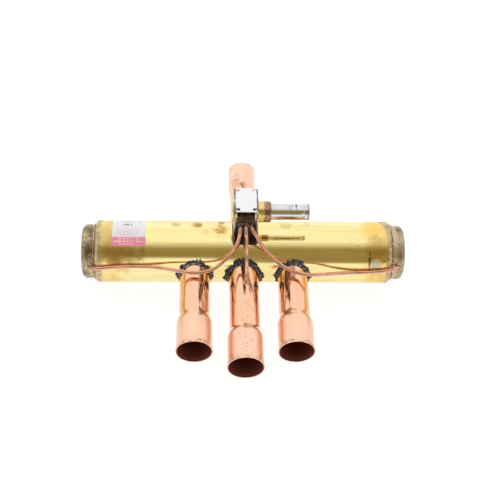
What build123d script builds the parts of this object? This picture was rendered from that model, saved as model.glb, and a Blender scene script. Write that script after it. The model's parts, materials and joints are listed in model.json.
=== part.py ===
from build123d import *
import os
from math import asin, degrees, radians, sin, tan

# Four-way reversing valve for a heat pump: a sliding D-valve in a brass tube, four brazed
# copper stubs, and a small pilot valve that steers it through capillary tubes.
# +X runs along the main body towards the pilot's stem, -Y along the three neighbouring
# stubs, +Y along the discharge stub and +Z up to the pilot. The origin is where the main
# body's axis meets the axis of the suction and discharge stubs. Millimetres.

# Fits
BRAZE_GAP = 0.05          # capillary gap of a brazed or stacked joint
RUNNING_GAP = 0.05        # radial play of a sliding fit
FREE_GAP = 0.3            # play of a loose fit
PAST = 1.0                # how far a cutting shape runs past a face
FAR = 40.0                # past every side of the pilot and its bracket

# Main body tube, 2-1/4 inch
BODY_R = 28.575
BODY_WALL = 1.575
BORE_R = BODY_R - BODY_WALL
BODY_HALF = 135.5
SHOULDER_LENGTH = 4.6

# End caps
CAP_R = 24.8
CAP_WALL = 3.0
CAP_FACE_X = 147.5
CAP_CORNER_R = 5.0
CAP_FLANGE_R = 26.9
CAP_FLANGE_X = (124.4, 127.4)
CAP_FLANGE_END_X = 131.0
CAP_BEAD_RISE = 1.5
CAP_BEAD_WIDTH = (0.9, 1.4)    # at its crest and at its foot

# Ports and stubs
PORT_PITCH = 44.45
PORT_R = 12.4
SEAT_FACE_Y = -14.0
SEAT_HALF = 68.0
STUB_ROOT_Y = -19.1
STUB_R = 13.6
STUB_WALL = 1.2
STUB_SOCKET_R = 14.375    # takes 1-1/8 inch tube
STUB_SOCKET_OUTER_R = 15.6
BELL_LENGTH = 4.0         # of the flare at a port socket's mouth
BELL_RISE = 0.65
SIDE_TAPER_Y = (-74.0, -83.5)
SIDE_MOUTH_Y = -112.0
SUCTION_TAPER_Y = (-90.5, -98.5)
SUCTION_MOUTH_Y = -128.5
DISCHARGE_ROOT_Y = 25.5
DISCHARGE_R = 11.1
DISCHARGE_WALL = 1.1
DISCHARGE_SOCKET_R = 11.175    # takes 7/8 inch tube
DISCHARGE_SOCKET_OUTER_R = 12.65
DISCHARGE_TAPER_Y = (63.0, 80.0)
DISCHARGE_MOUTH_Y = 102.5
FILLET_WIDTH = 3.6        # braze round a stub's root
FILLET_HEIGHT = 2.2

# Main slide, measured from its own middle
STROKE = PORT_PITCH
SLIDE_REST_X = -STROKE / 2
SLIDER_LENGTH = 82.0
SLIDER_WIDTH = 38.0
SLIDER_FLANGE = 3.4
SLIDER_RIM = 3.0
SLIDER_TOP_Y = 6.0
SLIDER_CAVITY_DEPTH = 16.0
SLIDER_DOME_ROUND = 4.0
SLIDER_CAVITY_ROUND = 5.0
SLIDE_PLATE_Y = (-10.0, -8.0)
SLIDE_PLATE_WIDTH = 44.0
TAB_X = (89.0, 91.0)
TAB_WIDTH = 32.0
TAB_TOP_Y = 10.0
DISC_FACE_X = 96.0
SEAL_BASE_X = 97.9
SEAL_LIP_X = 101.5
SEAL_LIP_WALL = 1.4
SPRING_RING_X = (98.1, 101.1)
SPRING_RING_R = (24.6, 25.3)
SPRING_RING_SLOTS = 16
SPRING_RING_ROOT = 0.8    # left solid behind the slots
SPRING_RING_SLOT = 1.0
CLAMP_FACE_X = 99.5
CLAMP_R = 23.5
SCREW_R = 1.5
SCREW_HEAD_R = 2.8
SCREW_HEAD_X = 101.5
SCREW_SPREAD = 10.0
SCREW_SLOT_WIDTH = 0.8
SCREW_SLOT_DEPTH = 0.9
STOP_R = 5.0
STOP_NECK_R = 2.45
STOP_TIP_X = 122.0

# Pilot valve
PILOT_X = 0.65            # middle of the pilot seat and its bracket
PILOT_Z = 56.0
PILOT_R = 9.5
PILOT_BORE_R = 8.0
PILOT_END_X = (-11.4, 23.1)
PILOT_CHAMFER = 0.8
PILOT_PLUG_LENGTH = 2.2
STEM_SEAT_X = 13.0        # where the stem stops inside the barrel
STEM_R = 7.15
STEM_BORE_R = 6.55
STEM_END_X = 57.0
SPIGOT_R = 6.95           # the stem's end, turned down to fit the barrel
SPIGOT_END_X = 23.4
GROOVE_X = (52.0, 52.6)
GROOVE_DEPTH = 0.2
CORE_FACE_X = 43.0
CORE_THREAD_R = 1.65      # tapping hole of an M4 thread
CORE_THREAD_DEPTH = 9.0
SHADING_RING_R = (5.0, 5.8)
SHADING_RING_DEPTH = 1.0
PILOT_STROKE = 3.0
PLUNGER_X = (15.0, CORE_FACE_X - PILOT_STROKE - 0.2)
PLUNGER_HOLE_R = 3.3
PLUNGER_HOLE_X = 28.0
PILOT_SEAT_WIDTH = 15.4
PILOT_SEAT_HEIGHT = 17.0
PILOT_SEAT_Z = 56.5
PILOT_SEAT_Y = (-12.5, -4.0)
PILOT_SEAT_CORNER_R = 3.5
PILOT_PORT_PITCH = PILOT_STROKE
PILOT_PORT_R = 0.8
PILOT_SLIDER_X = PILOT_X - PILOT_PORT_PITCH / 2
PILOT_SLIDER_LENGTH = 7.2
PILOT_SLIDER_HALF_Z = 2.6
PILOT_SLIDER_BACK_Y = 0.4
PILOT_CAVITY_DEPTH = 1.8
LEAF_THICK = 0.2
LEAF_RISE = 1.1
LEAF_WIDTH = 4.0
CARRIER_X = (-7.0, 18.0)
CARRIER_NECK_X = 9.6      # short of the stem, even when the plunger is drawn in
CARRIER_NECK_R = 2.6
CARRIER_Y = (-3.4, 4.5)
CARRIER_HALF_Z = 5.0
CARRIER_POCKET_Y = 2.2
CARRIER_POCKET_GAP = 0.1
COIL_WIRE_R = 0.3
COIL_R = 2.6
COIL_TURNS = 9
CAPILLARY_PITCH = 4.75
CAPILLARY_EXIT_Z = 51.8
CAPILLARY_SOCKET_Y = -8.5

# Pilot bracket and its foot
SHEET = 1.2
BRACKET_WIDTH = 21.4
BRACKET_TOP_Z = 72.2
BRACKET_Y = (-14.2, 13.7)
BRACKET_BEND_R = 2.2
SLOT_SIZE = (3.4, 3.1)
SLOT_X_OFFSET = 7.3
SLOT_Y = (-11.5, 10.2)
BRACKET_SKIRT_Z = 10.0    # everything of the bracket is above this
FOOT_X = (-10.1, 12.1)
FOOT_HALF_Y = 12.4
FOOT_THICK = 2.6
FOOT_CHAMFER = 2.0
FOOT_BRAZE_MARGIN = 0.6
FOOT_BRAZE_THICK = 0.9

# Capillaries, 1/8 inch tube
CAPILLARY_R = 1.6
CAPILLARY_BORE_R = 1.0
BEND_SHARE = 0.45         # of the shorter run, given up to each bend
TAP_REACH = 4.0           # past the capillary's end
CAP_TAP_RISE = 3.6        # of the braze collar, back from the capillary's end
STUB_TAP_RISE = 2.4
SUCTION_TAP_Y = -46.7
SUCTION_TAP_X = 1.4
DISCHARGE_TAP_Y = 74.5
DISCHARGE_TAP_X = 1.0
LEFT_TAP_X = -140.2
RIGHT_TAP_X = 141.2

LEFT_ROUTE = (
    (PILOT_X - CAPILLARY_PITCH, CAPILLARY_SOCKET_Y - BRAZE_GAP, CAPILLARY_EXIT_Z),
    (PILOT_X - CAPILLARY_PITCH, -18.5, CAPILLARY_EXIT_Z),
    (-5.8, -21.8, 40.0),
    (-10.2, -23.6, 29.2),
    (-17.3, -27.9, 21.8),
    (-29.2, -37.4, 18.0),
    (-46.0, -40.2, 18.2),
    (-62.0, -35.8, 16.8),
    (-80.0, -29.2, 13.2),
    (-98.5, -28.0, 12.6),
    (-113.5, -28.1, 11.9),
    (-128.4, -28.6, 10.6),
    (LEFT_TAP_X, -27.8, 8.0),
    (LEFT_TAP_X, -21.4, 6.2),
)
RIGHT_ROUTE = (
    (PILOT_X + CAPILLARY_PITCH, CAPILLARY_SOCKET_Y - BRAZE_GAP, CAPILLARY_EXIT_Z),
    (PILOT_X + CAPILLARY_PITCH, -16.2, CAPILLARY_EXIT_Z),
    (11.8, -21.0, 43.0),
    (16.9, -24.2, 34.0),
    (24.6, -29.2, 26.4),
    (36.6, -36.2, 20.6),
    (51.6, -40.9, 18.2),
    (66.0, -40.2, 16.4),
    (80.0, -33.2, 9.6),
    (96.1, -30.2, 7.2),
    (112.0, -29.7, 7.4),
    (127.0, -29.4, 8.6),
    (RIGHT_TAP_X, -27.2, 10.4),
    (RIGHT_TAP_X, -20.8, 8.0),
)
SUCTION_ROUTE = (
    (PILOT_X, CAPILLARY_SOCKET_Y - BRAZE_GAP, CAPILLARY_EXIT_Z),
    (PILOT_X, -18.8, CAPILLARY_EXIT_Z),
    (1.8, -21.8, 36.0),
    (2.1, -28.5, 22.6),
    (SUCTION_TAP_X, SUCTION_TAP_Y, 21.0),
    (SUCTION_TAP_X, SUCTION_TAP_Y, 12.5),
)
DISCHARGE_ROUTE = (
    (1.6, PILOT_BORE_R + FREE_GAP, PILOT_Z),
    (1.6, 19.0, PILOT_Z),
    (2.2, 34.0, 44.0),
    (2.7, 47.0, 28.0),
    (2.4, 61.0, 20.0),
    (DISCHARGE_TAP_X, DISCHARGE_TAP_Y, 18.4),
    (DISCHARGE_TAP_X, DISCHARGE_TAP_Y, 11.0),
)

# Rating label on the body's left half
LABEL_X = (-119.3, -89.0)
LABEL_ANGLES = (-30.0, 50.0)    # from the top, negative towards the stubs
LABEL_THICK = 0.15
LABEL_CORNER = 3.0
LABEL_GLUE = 0.02


def turned(points, axis):
    """A solid of revolution: (x, radius) pairs about X, (radius, y) pairs about Y."""
    return revolve(make_face(Polyline(*points, close=True)), axis)


def rod(start, end, radius):
    """A round bar between two points."""
    line = Vector(*end) - Vector(*start)
    place = Plane(origin=start, z_dir=line)
    return extrude(place * Circle(radius), line.length)


def rod_x(x_from, x_to, radius, y=0, z=0):
    return rod((x_from, y, z), (x_to, y, z), radius)


def block(x, y, z):
    """A box from three (low, high) pairs."""
    size = [high - low for low, high in (x, y, z)]
    middle = [(high + low) / 2 for low, high in (x, y, z)]
    return Pos(*middle) * Box(*size)


def about(middle, size):
    return (middle - size / 2, middle + size / 2)


def mirrored(solid):
    return mirror(solid, about=Plane.YZ)


# ---------------------------------------------------------------- main body

def make_body_tube():
    """A tube whose ends are rolled in over the caps, drilled for the four stubs."""
    drop = BODY_R - CAP_R - BRAZE_GAP
    roll_r = (SHOULDER_LENGTH ** 2 + drop ** 2) / (2 * drop)
    roll_angle = degrees(asin(SHOULDER_LENGTH / roll_r))
    straight = BODY_HALF - SHOULDER_LENGTH
    centre = (straight, BODY_R - roll_r)
    outer = CenterArc(centre, roll_r, 90, -roll_angle)
    inner = CenterArc(centre, roll_r - BODY_WALL, 90, -roll_angle)
    outline = (Line((0, BODY_R), (straight, BODY_R)) + outer + Line(outer @ 1, inner @ 1)
               + inner + Line((straight, BORE_R), (0, BORE_R)) + Line((0, BORE_R), (0, BODY_R)))
    half = revolve(make_face(outline), Axis.X)
    tube = half + mirrored(half)
    tube -= rod_x(-BODY_HALF - PAST, BODY_HALF + PAST, CAP_R + BRAZE_GAP)
    for x in (-PORT_PITCH, 0, PORT_PITCH):
        tube -= rod((x, 0, 0), (x, -2 * BODY_R, 0), STUB_R + BRAZE_GAP)
    return tube - rod((0, 0, 0), (0, 2 * BODY_R, 0), DISCHARGE_R + BRAZE_GAP)


def make_end_cap(tap_route):
    """A drawn cup with a flange held inside the rolled end, on the tap's own side."""
    inner_r = CAP_R - CAP_WALL
    face = make_face(Polyline(
        (CAP_FLANGE_X[0], inner_r), (CAP_FLANGE_X[0], CAP_FLANGE_R),
        (CAP_FLANGE_X[1], CAP_FLANGE_R), (CAP_FLANGE_END_X, CAP_R), (CAP_FACE_X, CAP_R),
        (CAP_FACE_X, 0), (CAP_FACE_X - CAP_WALL, 0), (CAP_FACE_X - CAP_WALL, inner_r),
        close=True,
    ))
    corner = [v for v in face.vertices() if v.X > CAP_FACE_X - 0.1 and v.Y > CAP_R - 0.1]
    face = fillet(corner, CAP_CORNER_R)
    inside = [v for v in face.vertices()
              if abs(v.X - CAP_FACE_X + CAP_WALL) < 0.01 and v.Y > inner_r - 0.1]
    cap = revolve(fillet(inside, CAP_CORNER_R - CAP_WALL), Axis.X)
    if tap_route[-1][0] < 0:
        cap = mirrored(cap)
    return cap - tap_hole(tap_route)


def make_cap_braze():
    """The bright bead where the rolled end meets the cap."""
    foot = CAP_R + BRAZE_GAP
    start = BODY_HALF + BRAZE_GAP
    crest = foot + CAP_BEAD_RISE
    return turned([(start, foot), (start, crest), (start + CAP_BEAD_WIDTH[0], crest),
                   (start + CAP_BEAD_WIDTH[1], foot)], Axis.X)


def make_port_seat():
    """The D-shaped brass block inside the tube, with a flat face that the slider runs on."""
    seat = rod_x(-SEAT_HALF, SEAT_HALF, BORE_R - BRAZE_GAP)
    seat &= block((-SEAT_HALF, SEAT_HALF), (-BODY_R, SEAT_FACE_Y), (-BODY_R, BODY_R))
    for x in (-PORT_PITCH, 0, PORT_PITCH):
        seat -= rod((x, 0, 0), (x, -BODY_R, 0), PORT_R)
        seat -= rod((x, STUB_ROOT_Y + BRAZE_GAP, 0), (x, -BODY_R, 0), STUB_R + BRAZE_GAP)
    return seat


# ---------------------------------------------------------------- stubs

def make_stub(root_y, taper, mouth_y, tube_r, wall, socket_r, socket_outer_r):
    """A copper stub along Y whose open end is swaged out into a brazing socket."""
    return turned([
        (tube_r - wall, root_y), (tube_r, root_y), (tube_r, taper[0]),
        (socket_outer_r, taper[1]), (socket_outer_r, mouth_y), (socket_r, mouth_y),
        (socket_r, taper[1]), (tube_r - wall, taper[0]),
    ], Axis.Y)


def make_port_stub(x, taper, mouth_y):
    """One of the three stubs in a row, its socket slightly flared at the mouth."""
    bell_y = mouth_y + BELL_LENGTH
    stub = make_stub(STUB_ROOT_Y, taper, bell_y, STUB_R, STUB_WALL,
                     STUB_SOCKET_R, STUB_SOCKET_OUTER_R)
    bell = turned([
        (STUB_SOCKET_R, bell_y), (STUB_SOCKET_OUTER_R, bell_y),
        (STUB_SOCKET_OUTER_R + BELL_RISE, mouth_y), (STUB_SOCKET_R + BELL_RISE, mouth_y),
    ], Axis.Y)
    return Pos(x, 0, 0) * (stub + bell)


def make_suction_stub():
    return make_port_stub(0, SUCTION_TAPER_Y, SUCTION_MOUTH_Y) - tap_hole(SUCTION_ROUTE)


def make_discharge_stub():
    stub = make_stub(DISCHARGE_ROOT_Y, DISCHARGE_TAPER_Y, DISCHARGE_MOUTH_Y, DISCHARGE_R,
                     DISCHARGE_WALL, DISCHARGE_SOCKET_R, DISCHARGE_SOCKET_OUTER_R)
    return stub - tap_hole(DISCHARGE_ROUTE)


def make_root_braze(x, side, tube_r):
    """A saddle-shaped fillet where a stub leaves the round body; side is -1 or 1 along Y."""
    far = (x, side * (BODY_R + FILLET_HEIGHT + PAST), 0)
    ring = rod((x, 0, 0), far, tube_r + FILLET_WIDTH) - rod((x, 0, 0), far, tube_r + BRAZE_GAP)
    reach = tube_r + FILLET_WIDTH + PAST
    layer = rod_x(x - reach, x + reach, BODY_R + FILLET_HEIGHT)
    return ring & (layer - rod_x(x - reach, x + reach, BODY_R + BRAZE_GAP))


# ---------------------------------------------------------------- main slide

def stadium(length, width, y_from, y_to):
    """A block with round ends along X, standing between two heights in Y."""
    outline = SlotOverall(length, width)
    place = Plane(origin=(0, y_from, 0), x_dir=(1, 0, 0), z_dir=(0, 1, 0))
    return extrude(place * outline, y_to - y_from)


def make_main_slider():
    """The D-slide: a flanged dome whose cavity bridges two neighbouring ports."""
    foot_y = SEAT_FACE_Y + RUNNING_GAP
    flange_y = foot_y + SLIDER_FLANGE
    flange = block(about(0, SLIDER_LENGTH), (foot_y, flange_y), about(0, SLIDER_WIDTH))
    dome = stadium(SLIDER_LENGTH - 2 * SLIDER_RIM, SLIDER_WIDTH - 2 * SLIDER_RIM,
                   foot_y, SLIDER_TOP_Y)
    dome = fillet(dome.faces().sort_by(Axis.Y)[-1].edges(), SLIDER_DOME_ROUND)
    cavity = stadium(PORT_PITCH + 2 * PORT_R, 2 * PORT_R, foot_y, foot_y + SLIDER_CAVITY_DEPTH)
    cavity = fillet(cavity.faces().sort_by(Axis.Y)[-1].edges(), SLIDER_CAVITY_ROUND)
    return flange + dome - cavity


def make_slide_bracket():
    """A stamped plate round the slider whose bent ends carry the two pistons."""
    plate = block((-TAB_X[1], TAB_X[1]), SLIDE_PLATE_Y, about(0, SLIDE_PLATE_WIDTH))
    window = stadium(SLIDER_LENGTH - 2 * SLIDER_RIM + 2 * FREE_GAP,
                     SLIDER_WIDTH - 2 * SLIDER_RIM + 2 * FREE_GAP,
                     SLIDE_PLATE_Y[0] - PAST, SLIDE_PLATE_Y[1] + PAST)
    bracket = plate - window
    for side in (-1, 1):
        flow_x = side * 1.5 * PORT_PITCH
        bracket -= rod((flow_x, SLIDE_PLATE_Y[0] - PAST, 0),
                       (flow_x, SLIDE_PLATE_Y[1] + PAST, 0), PORT_R)
    tab = block(TAB_X, (SLIDE_PLATE_Y[0], TAB_TOP_Y), about(0, TAB_WIDTH))
    tab -= piston_holes()
    return bracket + tab + mirrored(tab)


def piston_holes():
    """The clearance of one piston's two screws and its stop."""
    start = TAB_X[0] - PAST
    holes = rod_x(start, STOP_TIP_X, STOP_NECK_R + BRAZE_GAP)
    for z in (-SCREW_SPREAD, SCREW_SPREAD):
        holes += rod_x(start, STOP_TIP_X, SCREW_R + BRAZE_GAP, z=z)
    return holes


def make_piston_disc():
    return rod_x(TAB_X[1] + BRAZE_GAP, DISC_FACE_X, BORE_R - FREE_GAP) - piston_holes()


def make_piston_seal():
    """A cup seal that opens outwards, its lip running on the bore."""
    start = DISC_FACE_X + BRAZE_GAP
    lip_r = BORE_R - RUNNING_GAP
    cup = turned([(start, 0), (start, lip_r), (SEAL_LIP_X, lip_r),
                  (SEAL_LIP_X, lip_r - SEAL_LIP_WALL / 2),
                  (SEAL_BASE_X, lip_r - SEAL_LIP_WALL), (SEAL_BASE_X, 0)], Axis.X)
    return cup - piston_holes()


def make_piston_spring():
    """The slotted ring that presses the cup seal's lip outwards."""
    inner, outer = SPRING_RING_R
    ring = rod_x(*SPRING_RING_X, outer) - rod_x(*SPRING_RING_X, inner)
    slot = block((SPRING_RING_X[0] + SPRING_RING_ROOT, SPRING_RING_X[1] + PAST),
                 about(0, SPRING_RING_SLOT), (inner - PAST, outer + PAST))
    for step in range(SPRING_RING_SLOTS):
        ring -= Rot(X=step * 360 / SPRING_RING_SLOTS) * slot
    return ring


def make_piston_clamp():
    return rod_x(SEAL_BASE_X + BRAZE_GAP, CLAMP_FACE_X, CLAMP_R) - piston_holes()


def make_piston_screws():
    screws = []
    for z in (-SCREW_SPREAD, SCREW_SPREAD):
        shank = rod_x(TAB_X[0], SCREW_HEAD_X, SCREW_R, z=z)
        head = rod_x(CLAMP_FACE_X + BRAZE_GAP, SCREW_HEAD_X, SCREW_HEAD_R, z=z)
        slot = block((SCREW_HEAD_X - SCREW_SLOT_DEPTH, SCREW_HEAD_X + PAST),
                     about(0, SCREW_SLOT_WIDTH), about(z, 2 * SCREW_HEAD_R))
        screws.append(shank + head - slot)
    return Compound(screws)


def make_piston_stop():
    """The post that meets the cap's inner face and ends the stroke."""
    neck = rod_x(TAB_X[0], STOP_TIP_X, STOP_NECK_R)
    return neck + rod_x(CLAMP_FACE_X + BRAZE_GAP, STOP_TIP_X, STOP_R)


# ---------------------------------------------------------------- pilot valve

def pilot_rod(x_from, x_to, radius):
    return rod_x(x_from, x_to, radius, z=PILOT_Z)


def pilot_seat_outline(clearance):
    return block(about(PILOT_X, PILOT_SEAT_WIDTH + 2 * clearance),
                 (PILOT_SEAT_Y[0] - clearance, PILOT_SEAT_Y[1] + clearance),
                 about(PILOT_SEAT_Z, PILOT_SEAT_HEIGHT + 2 * clearance))


def make_pilot_body():
    """The brass barrel, open at the front for its seat and reamed for the stem."""
    body = chamfer(pilot_rod(*PILOT_END_X, PILOT_R).edges(), PILOT_CHAMFER)
    body -= pilot_rod(PILOT_END_X[0] - PAST, STEM_SEAT_X, PILOT_BORE_R)
    body -= pilot_rod(STEM_SEAT_X - PAST, PILOT_END_X[1] + PAST, SPIGOT_R + BRAZE_GAP)
    body -= pilot_seat_outline(BRAZE_GAP)
    inlet = (DISCHARGE_ROUTE[0][0], 0, PILOT_Z)
    return body - rod(inlet, DISCHARGE_ROUTE[1], CAPILLARY_R + BRAZE_GAP)


def make_pilot_plug():
    start = PILOT_END_X[0]
    return pilot_rod(start, start + PILOT_PLUG_LENGTH, PILOT_BORE_R - BRAZE_GAP)


def make_pilot_seat():
    """The seat block: three ports behind, fanned out to three capillary sockets in front."""
    seat = pilot_seat_outline(0)
    seat = fillet(seat.edges().filter_by(Axis.Y), PILOT_SEAT_CORNER_R)
    for step in (-1, 0, 1):
        port = (PILOT_X + step * PILOT_PORT_PITCH, PILOT_SEAT_Y[1] + PAST, PILOT_Z)
        socket = (PILOT_X + step * CAPILLARY_PITCH, CAPILLARY_SOCKET_Y, CAPILLARY_EXIT_Z)
        mouth = (socket[0], PILOT_SEAT_Y[0] - PAST, CAPILLARY_EXIT_Z)
        seat -= rod(port, socket, PILOT_PORT_R)
        seat -= rod(socket, mouth, CAPILLARY_R + BRAZE_GAP)
    return seat


def make_stem():
    """The thin stainless tube that the coil slides over."""
    start = STEM_SEAT_X + BRAZE_GAP
    stem = pilot_rod(start, SPIGOT_END_X, SPIGOT_R) + pilot_rod(SPIGOT_END_X, STEM_END_X, STEM_R)
    groove = pilot_rod(*GROOVE_X, STEM_R + PAST) - pilot_rod(*GROOVE_X, STEM_R - GROOVE_DEPTH)
    return stem - groove - pilot_rod(start - PAST, STEM_END_X + PAST, STEM_BORE_R)


def make_fixed_core():
    core = pilot_rod(CORE_FACE_X, STEM_END_X, STEM_BORE_R - BRAZE_GAP)
    core -= pilot_rod(STEM_END_X - CORE_THREAD_DEPTH, STEM_END_X + PAST, CORE_THREAD_R)
    depth = CORE_FACE_X + SHADING_RING_DEPTH + BRAZE_GAP
    outer = pilot_rod(CORE_FACE_X, depth, SHADING_RING_R[1] + BRAZE_GAP)
    return core - (outer - pilot_rod(CORE_FACE_X, depth, SHADING_RING_R[0] - BRAZE_GAP))


def make_shading_ring():
    span = (CORE_FACE_X, CORE_FACE_X + SHADING_RING_DEPTH)
    return pilot_rod(*span, SHADING_RING_R[1]) - pilot_rod(*span, SHADING_RING_R[0])


def make_plunger():
    """The iron plunger, bored for its carrier at the left and its spring at the right."""
    plunger = pilot_rod(*PLUNGER_X, STEM_BORE_R - 2 * RUNNING_GAP)
    plunger -= pilot_rod(PLUNGER_HOLE_X, PLUNGER_X[1] + PAST, PLUNGER_HOLE_R)
    socket_end = CARRIER_X[1] + BRAZE_GAP
    return plunger - pilot_rod(PLUNGER_X[0] - PAST, socket_end, CARRIER_NECK_R + BRAZE_GAP)


def make_carrier():
    """The brass fork that drags the pilot slider along."""
    fork = block((CARRIER_X[0], CARRIER_NECK_X), CARRIER_Y,
                 about(PILOT_Z, 2 * CARRIER_HALF_Z))
    pocket_size = PILOT_SLIDER_LENGTH + 2 * CARRIER_POCKET_GAP
    fork -= block(about(PILOT_SLIDER_X, pocket_size), (CARRIER_Y[0] - PAST, CARRIER_POCKET_Y),
                  about(PILOT_Z, 2 * (PILOT_SLIDER_HALF_Z + CARRIER_POCKET_GAP)))
    return fork + pilot_rod(CARRIER_NECK_X - PAST, CARRIER_X[1], CARRIER_NECK_R)


def make_pilot_slider():
    """The small D-slide that joins the suction capillary to one of its neighbours."""
    face_y = PILOT_SEAT_Y[1] + RUNNING_GAP
    slider = block(about(PILOT_SLIDER_X, PILOT_SLIDER_LENGTH), (face_y, PILOT_SLIDER_BACK_Y),
                   about(PILOT_Z, 2 * PILOT_SLIDER_HALF_Z))
    cavity = stadium(PILOT_PORT_PITCH + 2 * PILOT_PORT_R, 2 * PILOT_PORT_R,
                     face_y, face_y + PILOT_CAVITY_DEPTH)
    return slider - Pos(PILOT_SLIDER_X, 0, PILOT_Z) * cavity


def make_leaf_spring():
    """A bowed strip between the carrier and the slider's back."""
    half = PILOT_SLIDER_LENGTH / 2 - FREE_GAP
    low = PILOT_SLIDER_BACK_Y + RUNNING_GAP
    bow_r = (half ** 2 + LEAF_RISE ** 2) / (2 * LEAF_RISE)
    centre_y = low + LEAF_RISE - bow_r
    ends = [(-half, low), (0, low + LEAF_RISE), (half, low)]
    scale = (bow_r + LEAF_THICK) / bow_r
    outer = [(x * scale, centre_y + (y - centre_y) * scale) for x, y in ends]
    outline = (ThreePointArc(*ends) + Line(ends[2], outer[2])
               + ThreePointArc(*reversed(outer)) + Line(outer[0], ends[0]))
    strip = extrude(make_face(outline), LEAF_WIDTH)
    return Pos(PILOT_SLIDER_X, 0, PILOT_Z - LEAF_WIDTH / 2) * strip


def make_return_spring():
    """The coil spring between the plunger and the fixed core."""
    inset = COIL_WIRE_R + RUNNING_GAP
    length = CORE_FACE_X - PLUNGER_HOLE_X - 2 * inset
    helix = Helix(pitch=length / COIL_TURNS, height=length, radius=COIL_R)
    wire = sweep(Plane(origin=helix @ 0, z_dir=helix % 0) * Circle(COIL_WIRE_R), helix,
                 is_frenet=True)
    return Pos(PLUNGER_HOLE_X + inset, 0, PILOT_Z) * Rot(Y=90) * wire


# ---------------------------------------------------------------- pilot bracket

def make_pilot_bracket():
    """An upturned U of sheet steel: the pilot barrel passes through both its legs."""
    outer = block(about(PILOT_X, BRACKET_WIDTH), BRACKET_Y, (0, BRACKET_TOP_Z))
    bends = outer.faces().sort_by(Axis.Z)[-1].edges().filter_by(Axis.Y)
    outer = fillet(bends, BRACKET_BEND_R)
    inner = block(about(PILOT_X, BRACKET_WIDTH - 2 * SHEET), (-FAR, FAR),
                  (-PAST, BRACKET_TOP_Z - SHEET))
    inner_bends = inner.faces().sort_by(Axis.Z)[-1].edges().filter_by(Axis.Y)
    bracket = outer - fillet(inner_bends, BRACKET_BEND_R - SHEET)
    bracket -= rod_x(-FAR, FAR, BODY_R + BRAZE_GAP + FOOT_THICK + BRAZE_GAP)
    bracket -= block((-FAR, FAR), (-FAR, FAR), (-PAST, BRACKET_SKIRT_Z))
    bracket -= pilot_rod(-FAR, FAR, PILOT_R + BRAZE_GAP)
    for side in (-1, 1):
        for y in SLOT_Y:
            bracket -= block(about(PILOT_X + side * SLOT_X_OFFSET, SLOT_SIZE[0]),
                             about(y, SLOT_SIZE[1]), (BRACKET_TOP_Z - 2 * SHEET, BRACKET_TOP_Z + PAST))
    return bracket


def foot_plan(margin):
    """The foot's outline from above, with cut corners, as a tall prism."""
    plan = block((FOOT_X[0] - margin, FOOT_X[1] + margin),
                 (-FOOT_HALF_Y - margin, FOOT_HALF_Y + margin), (0, 2 * BODY_R))
    return chamfer(plan.edges().filter_by(Axis.Z), FOOT_CHAMFER)


def body_shell(thickness):
    """A sleeve of a given thickness round the whole body tube."""
    inner = BODY_R + BRAZE_GAP
    return rod_x(-FAR, FAR, inner + thickness) - rod_x(-FAR, FAR, inner)


def make_foot():
    return body_shell(FOOT_THICK) & foot_plan(0)


def make_foot_braze():
    apron = body_shell(FOOT_BRAZE_THICK) & foot_plan(FOOT_BRAZE_MARGIN)
    return apron - foot_plan(BRAZE_GAP)


# ---------------------------------------------------------------- capillaries

def bend_radii(route):
    """As large a radius at each corner as its two runs allow."""
    radii = []
    for before, corner, after in zip(route, route[1:], route[2:]):
        into = Vector(*corner) - Vector(*before)
        out = Vector(*after) - Vector(*corner)
        turn = radians(into.get_angle(out))
        radii.append(BEND_SHARE * min(into.length, out.length) / tan(turn / 2))
    return radii


def make_capillary(route):
    path = FilletPolyline(*route, radius=bend_radii(route))
    start = Plane(origin=path @ 0, z_dir=path % 0)
    outside = sweep(start * Circle(CAPILLARY_R), path)
    return outside - sweep(start * Circle(CAPILLARY_BORE_R), path)


def tap_hole(route):
    """The hole that the last run of a capillary enters through."""
    corner, end = Vector(*route[-2]), Vector(*route[-1])
    beyond = end + (end - corner).normalized() * TAP_REACH
    return rod(tuple(corner), tuple(beyond), CAPILLARY_R + BRAZE_GAP)


def make_tap_braze(route, wall, rise):
    """A small collar of braze round a capillary, standing on a wall; rise from its end."""
    corner, end = Vector(*route[-2]), Vector(*route[-1])
    run = (end - corner).normalized()
    top, beyond = tuple(end - run * rise), tuple(end + run * TAP_REACH)
    collar = rod(top, beyond, 2 * CAPILLARY_R) - rod(top, beyond, CAPILLARY_R + BRAZE_GAP)
    return (collar - wall).solids().sort_by(lambda s: (s.center() - corner).length)[0]


def tap_brazes():
    """The four collars, each with the envelope of the wall that it stands on."""
    left_cap = rod_x(-CAP_FACE_X, 0, CAP_R + BRAZE_GAP)
    suction_wall = rod((0, 0, 0), (0, SUCTION_MOUTH_Y, 0), STUB_R + BRAZE_GAP)
    discharge_wall = turned([
        (0, 0), (DISCHARGE_R + BRAZE_GAP, 0), (DISCHARGE_R + BRAZE_GAP, DISCHARGE_TAPER_Y[0]),
        (DISCHARGE_SOCKET_OUTER_R + BRAZE_GAP, DISCHARGE_TAPER_Y[1]),
        (DISCHARGE_SOCKET_OUTER_R + BRAZE_GAP, DISCHARGE_MOUTH_Y), (0, DISCHARGE_MOUTH_Y),
    ], Axis.Y)
    return {
        "left_tap_braze": make_tap_braze(LEFT_ROUTE, left_cap, CAP_TAP_RISE),
        "right_tap_braze": make_tap_braze(RIGHT_ROUTE, mirrored(left_cap), CAP_TAP_RISE),
        "suction_tap_braze": make_tap_braze(SUCTION_ROUTE, suction_wall, STUB_TAP_RISE),
        "discharge_tap_braze": make_tap_braze(DISCHARGE_ROUTE, discharge_wall, STUB_TAP_RISE),
    }


# ---------------------------------------------------------------- label

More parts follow.
